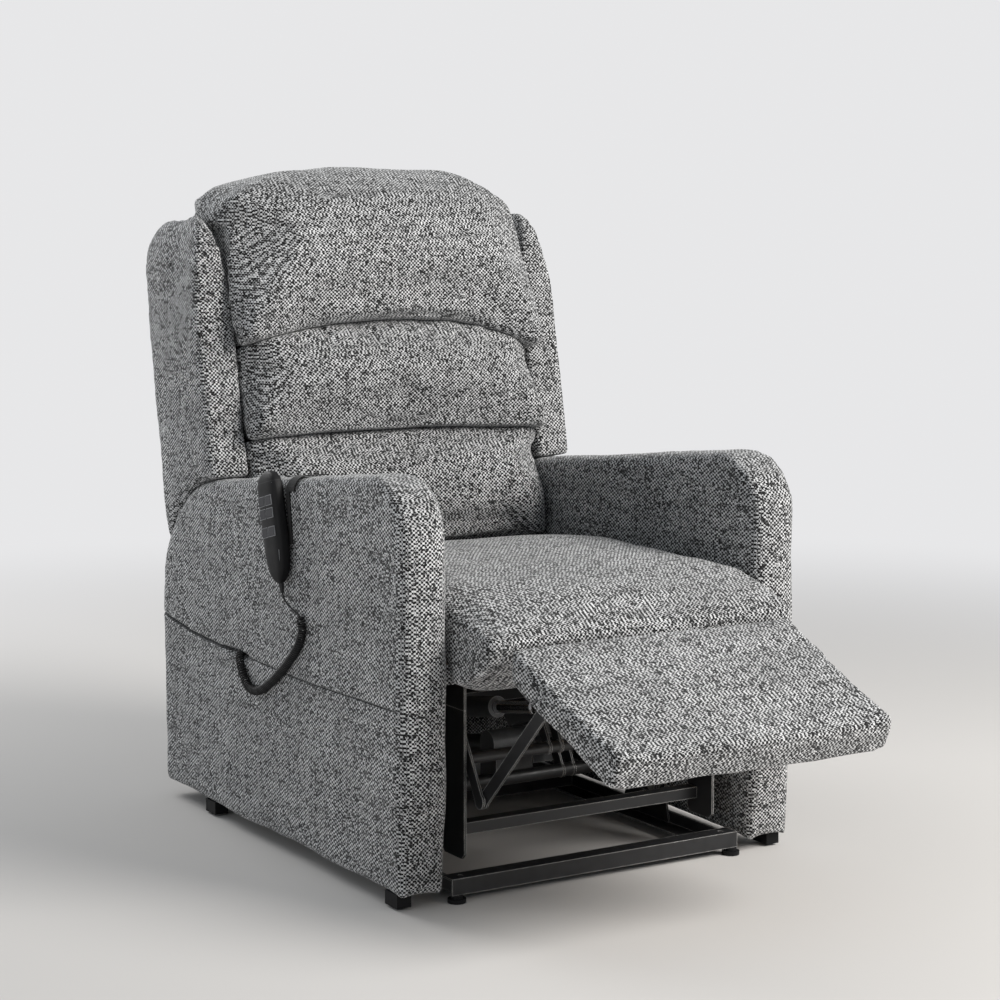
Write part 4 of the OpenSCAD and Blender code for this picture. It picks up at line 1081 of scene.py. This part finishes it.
def droop(x, y, z):
    spec = droopSpec

    def grow(value, name):
        return np.clip((value - spec[name + "From"]) / spec[name + "Over"], 0, spec["most"])

    ends = spec["upper"] * grow(x, "upper") ** spec["upperPower"]
    upper = ends * hump(z, spec["upperAt"], spec["upperWide"])
    ends = spec["left"] * grow(x, "left") ** spec["leftPower"] + spec["right"] * grow(-x, "right")
    lower = ends * hump(z, spec["lowerAt"], spec["lowerWide"])
    return x, y, z - step(-y, *spec["front"]) * (upper + lower)


def creaseHigh(x):
    radius = (creases["wide"] ** 2 + creases["arch"] ** 2) / (2 * creases["arch"])
    return creases["high"] - radius + np.sqrt(radius ** 2 - np.clip(np.abs(x), 0, creases["wide"]) ** 2)


def creaseLow(x):
    return creases["low"] + 0 * x


# Where two cushions press together: the edge is filled out, then cut off along the crease
def pressed(obj, low, high):
    turned = points(obj.data, "normal") @ np.array(backFrame.inverted())[:3, :3].T
    edges = [(edge, side) for edge, side in ((low, 1), (high, -1)) if edge]

    def form(x, y, z):
        grow = 0 * z
        for edge, side in edges:
            grow = np.maximum(grow, hump(np.maximum(side * (z - edge(x)), 0), 0, creases["reach"]))
        fill = creases["fill"] * grow * step(-y, *creases["frontRange"])
        x, y, z = (np.stack((x, y, z), axis=1) + turned * fill[:, None]).T
        for edge, side in edges:
            z = edge(x) + side * np.maximum(side * (z - edge(x)), creases["gap"])
        return x, y, z

    sculpt(obj, backFrame, form)


def makeBackCushion(name, node, seed, form, low, high):
    obj = softStart(name, node, backSpec["voxel"])
    relax(obj, 5)
    sculpt(obj, backFrame, form)
    puff(obj, backSpec["pressure"], backSpec["cap"])
    rumple(obj, 0.12, 0.005, seed)
    rumple(obj, 0.05, 0.0016, seed + 1)
    pressed(obj, low, high)
    sculpt(obj, backFrame, droop)
    sculpt(obj, backFrame, betweenWings)
    for side in (-1, 1):
        seam(obj, backFrame, 0, side * backSpec["seamX"], backSpec["seamDepth"], backSpec["seamFrontOf"])
    finishSoft(obj, "back", [node])


makeBackCushion("headCushion", "head_cushion", 21, headForm, creaseHigh, None)
makeBackCushion("middleCushion", "middle_cushion", 31, middleForm, creaseLow, creaseHigh)
makeBackCushion("lumbarCushion", "lumbar_cushion", 41, lumbarForm, None, creaseLow)

# The cloth that closes the gap between the seat and the back when the back reclines
lining = {
    "seat": (225.0, 428.0), "back": (203.0, 457.0), "half": 266.0, "thick": 1.2, "cuts": 10, "hardEdge": 40}


def makeLining():
    start, end = at(0, *lining["seat"]), at(0, *lining["back"])
    run = end - start
    along = run.normalized()
    local = Matrix((Vector((1, 0, 0)), along.cross(Vector((1, 0, 0))), along)).transposed().to_4x4()
    local.translation = start
    bm = bmesh.new()
    half, halfThick = lining["half"], lining["thick"] / 2
    boxMesh(bm, (-half, -halfThick, 0), (half, halfThick, run.length * 1000), local)
    for k in range(1, lining["cuts"]):
        cutAll(bm, start + run * (k / lining["cuts"]), along)
    bmesh.ops.recalc_face_normals(bm, faces=bm.faces)
    cloth = meshObject("seatLining", bm, finishes["tweed"])
    sharpen(cloth.data, lining["hardEdge"])
    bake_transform(cloth)


makeLining()

# ---- Wings
wingSpec = {
    "voxel": 0.007, "highRange": (540, 640), "topLift": 12.0, "topRange": (580, 650), "outerOut": 17.0,
    "outerRange": (322, 350), "outerFront": (-40, 40), "innerLift": 13.0, "innerRange": (282, 325),
    "innerFront": (-20, 80), "widest": 357, "seamX": 349, "seamDepth": 1.8}


def wingForm(x, y, z):
    spec = wingSpec
    high = step(z, *spec["highRange"])
    z = z + spec["topLift"] * step(z, *spec["topRange"])
    outer = step(np.abs(x), *spec["outerRange"]) * high * step(y, *spec["outerFront"])
    x = x + np.sign(x) * spec["outerOut"] * outer
    z = z + spec["innerLift"] * step(np.abs(x), *spec["innerRange"]) * high * step(y, *spec["innerFront"])
    return np.clip(x, -spec["widest"], spec["widest"]), y, z


def makeWing(name, node, side, seed):
    wing = softStart(name, node, wingSpec["voxel"])
    relax(wing, 12)
    sculpt(wing, backFrame, wingForm)
    rumple(wing, 0.12, 0.003, seed)
    seam(wing, backFrame, 0, side * wingSpec["seamX"], wingSpec["seamDepth"])
    finishSoft(wing, "back", [node])


makeWing("wingRight", "wing_right", -1, 51)
makeWing("wingLeft", "wing_left", 1, 61)

# ---- Legrest pad
legSpec = {
    "voxel": 0.007, "slope": 23.3, "edge": (-548, 406), "depth": 49.5, "boardSide": 37, "reach": 279.0,
    "half": 241.0, "corner": 32.0, "squareness": 9, "crown": 5.0, "crownHalf": 250,
    "sineRange": (0.03, 0.97), "topRange": (-20, -4), "tipLift": 6.0, "tipAcross": (180, 235),
    "tipAlong": (200, 268), "stretch": 12.0, "stretchRange": (120, 279), "seamZ": -11, "seamDepth": 1.8}
legFrame = (Matrix.Translation(at(0, *legSpec["edge"]))
            @ Matrix.Rotation(radians(legSpec["slope"]), 4, "X") @ Matrix.Scale(-1, 4, (0, 1, 0)))


# The cover goes on round the board under the pad
def wrapBoard(bm):
    inverse = legFrame.inverted()
    for v in bm.verts:
        p = inverse @ v.co
        if p.z < -legSpec["boardSide"] / 1000:
            v.co = legFrame @ Vector((p.x, p.y, -legSpec["depth"] / 1000))


def legForm(x, y, z):
    spec = legSpec
    dx = np.maximum(np.abs(x) - (spec["half"] - spec["corner"]), 0)
    dy = np.maximum(y - (spec["reach"] - spec["corner"]), 0)
    length = np.sqrt(dx * dx + dy * dy)
    inCorner = length > 1
    power = spec["squareness"]
    safe = np.maximum(length, 1)
    square = (np.abs(dx / safe) ** power + np.abs(dy / safe) ** power) ** (1 / power)
    grow = np.where(inCorner, 1 / np.maximum(square, 0.5), 1)
    x = np.where(inCorner, np.sign(x) * (np.abs(x) - dx + dx * grow), x)
    y = np.where(inCorner, y - dy + dy * grow, y)
    wide = 1 - np.clip(np.abs(x) / spec["crownHalf"], 0, 1) ** 3
    middle = np.sin(pi * np.clip(y / spec["reach"], *spec["sineRange"]))
    tip = step(np.abs(x), *spec["tipAcross"]) * step(y, *spec["tipAlong"])
    z = z + (spec["crown"] * wide * middle + spec["tipLift"] * tip) * step(z, *spec["topRange"])
    return x, y + spec["stretch"] * step(y, *spec["stretchRange"]), z


def makeLegrest():
    obj = softStart("legrestPad", "legrest_pad", legSpec["voxel"], before=wrapBoard)
    relax(obj, 5)
    sculpt(obj, legFrame, legForm)
    rumple(obj, 0.1, 0.003, 71)
    rumple(obj, 0.04, 0.0012, 72)
    seam(obj, legFrame, 2, legSpec["seamZ"], legSpec["seamDepth"])
    finishSoft(obj, "legrest", ["legrest_pad"])


makeLegrest()

# ---- Rear covers: the lower edge of the valance hangs a little lower than its solid
coverSpec = {"voxel": 0.006, "hang": 24, "hangRange": (-110, -60)}


def valanceForm(x, y, z):
    return x, y, z - coverSpec["hang"] * step(-z, *coverSpec["hangRange"])


def makeCover(name, node, body, form=None):
    cover = softStart(name, node, coverSpec["voxel"])
    if form:
        sculpt(cover, chairFrame, form)
    relax(cover, 3)
    rumple(cover, 0.16, 0.002, 81)
    finishSoft(cover, body, [node])


makeCover("backPanel", "back_panel", "back")
makeCover("rearValance", "rear_valance", "chassis", valanceForm)
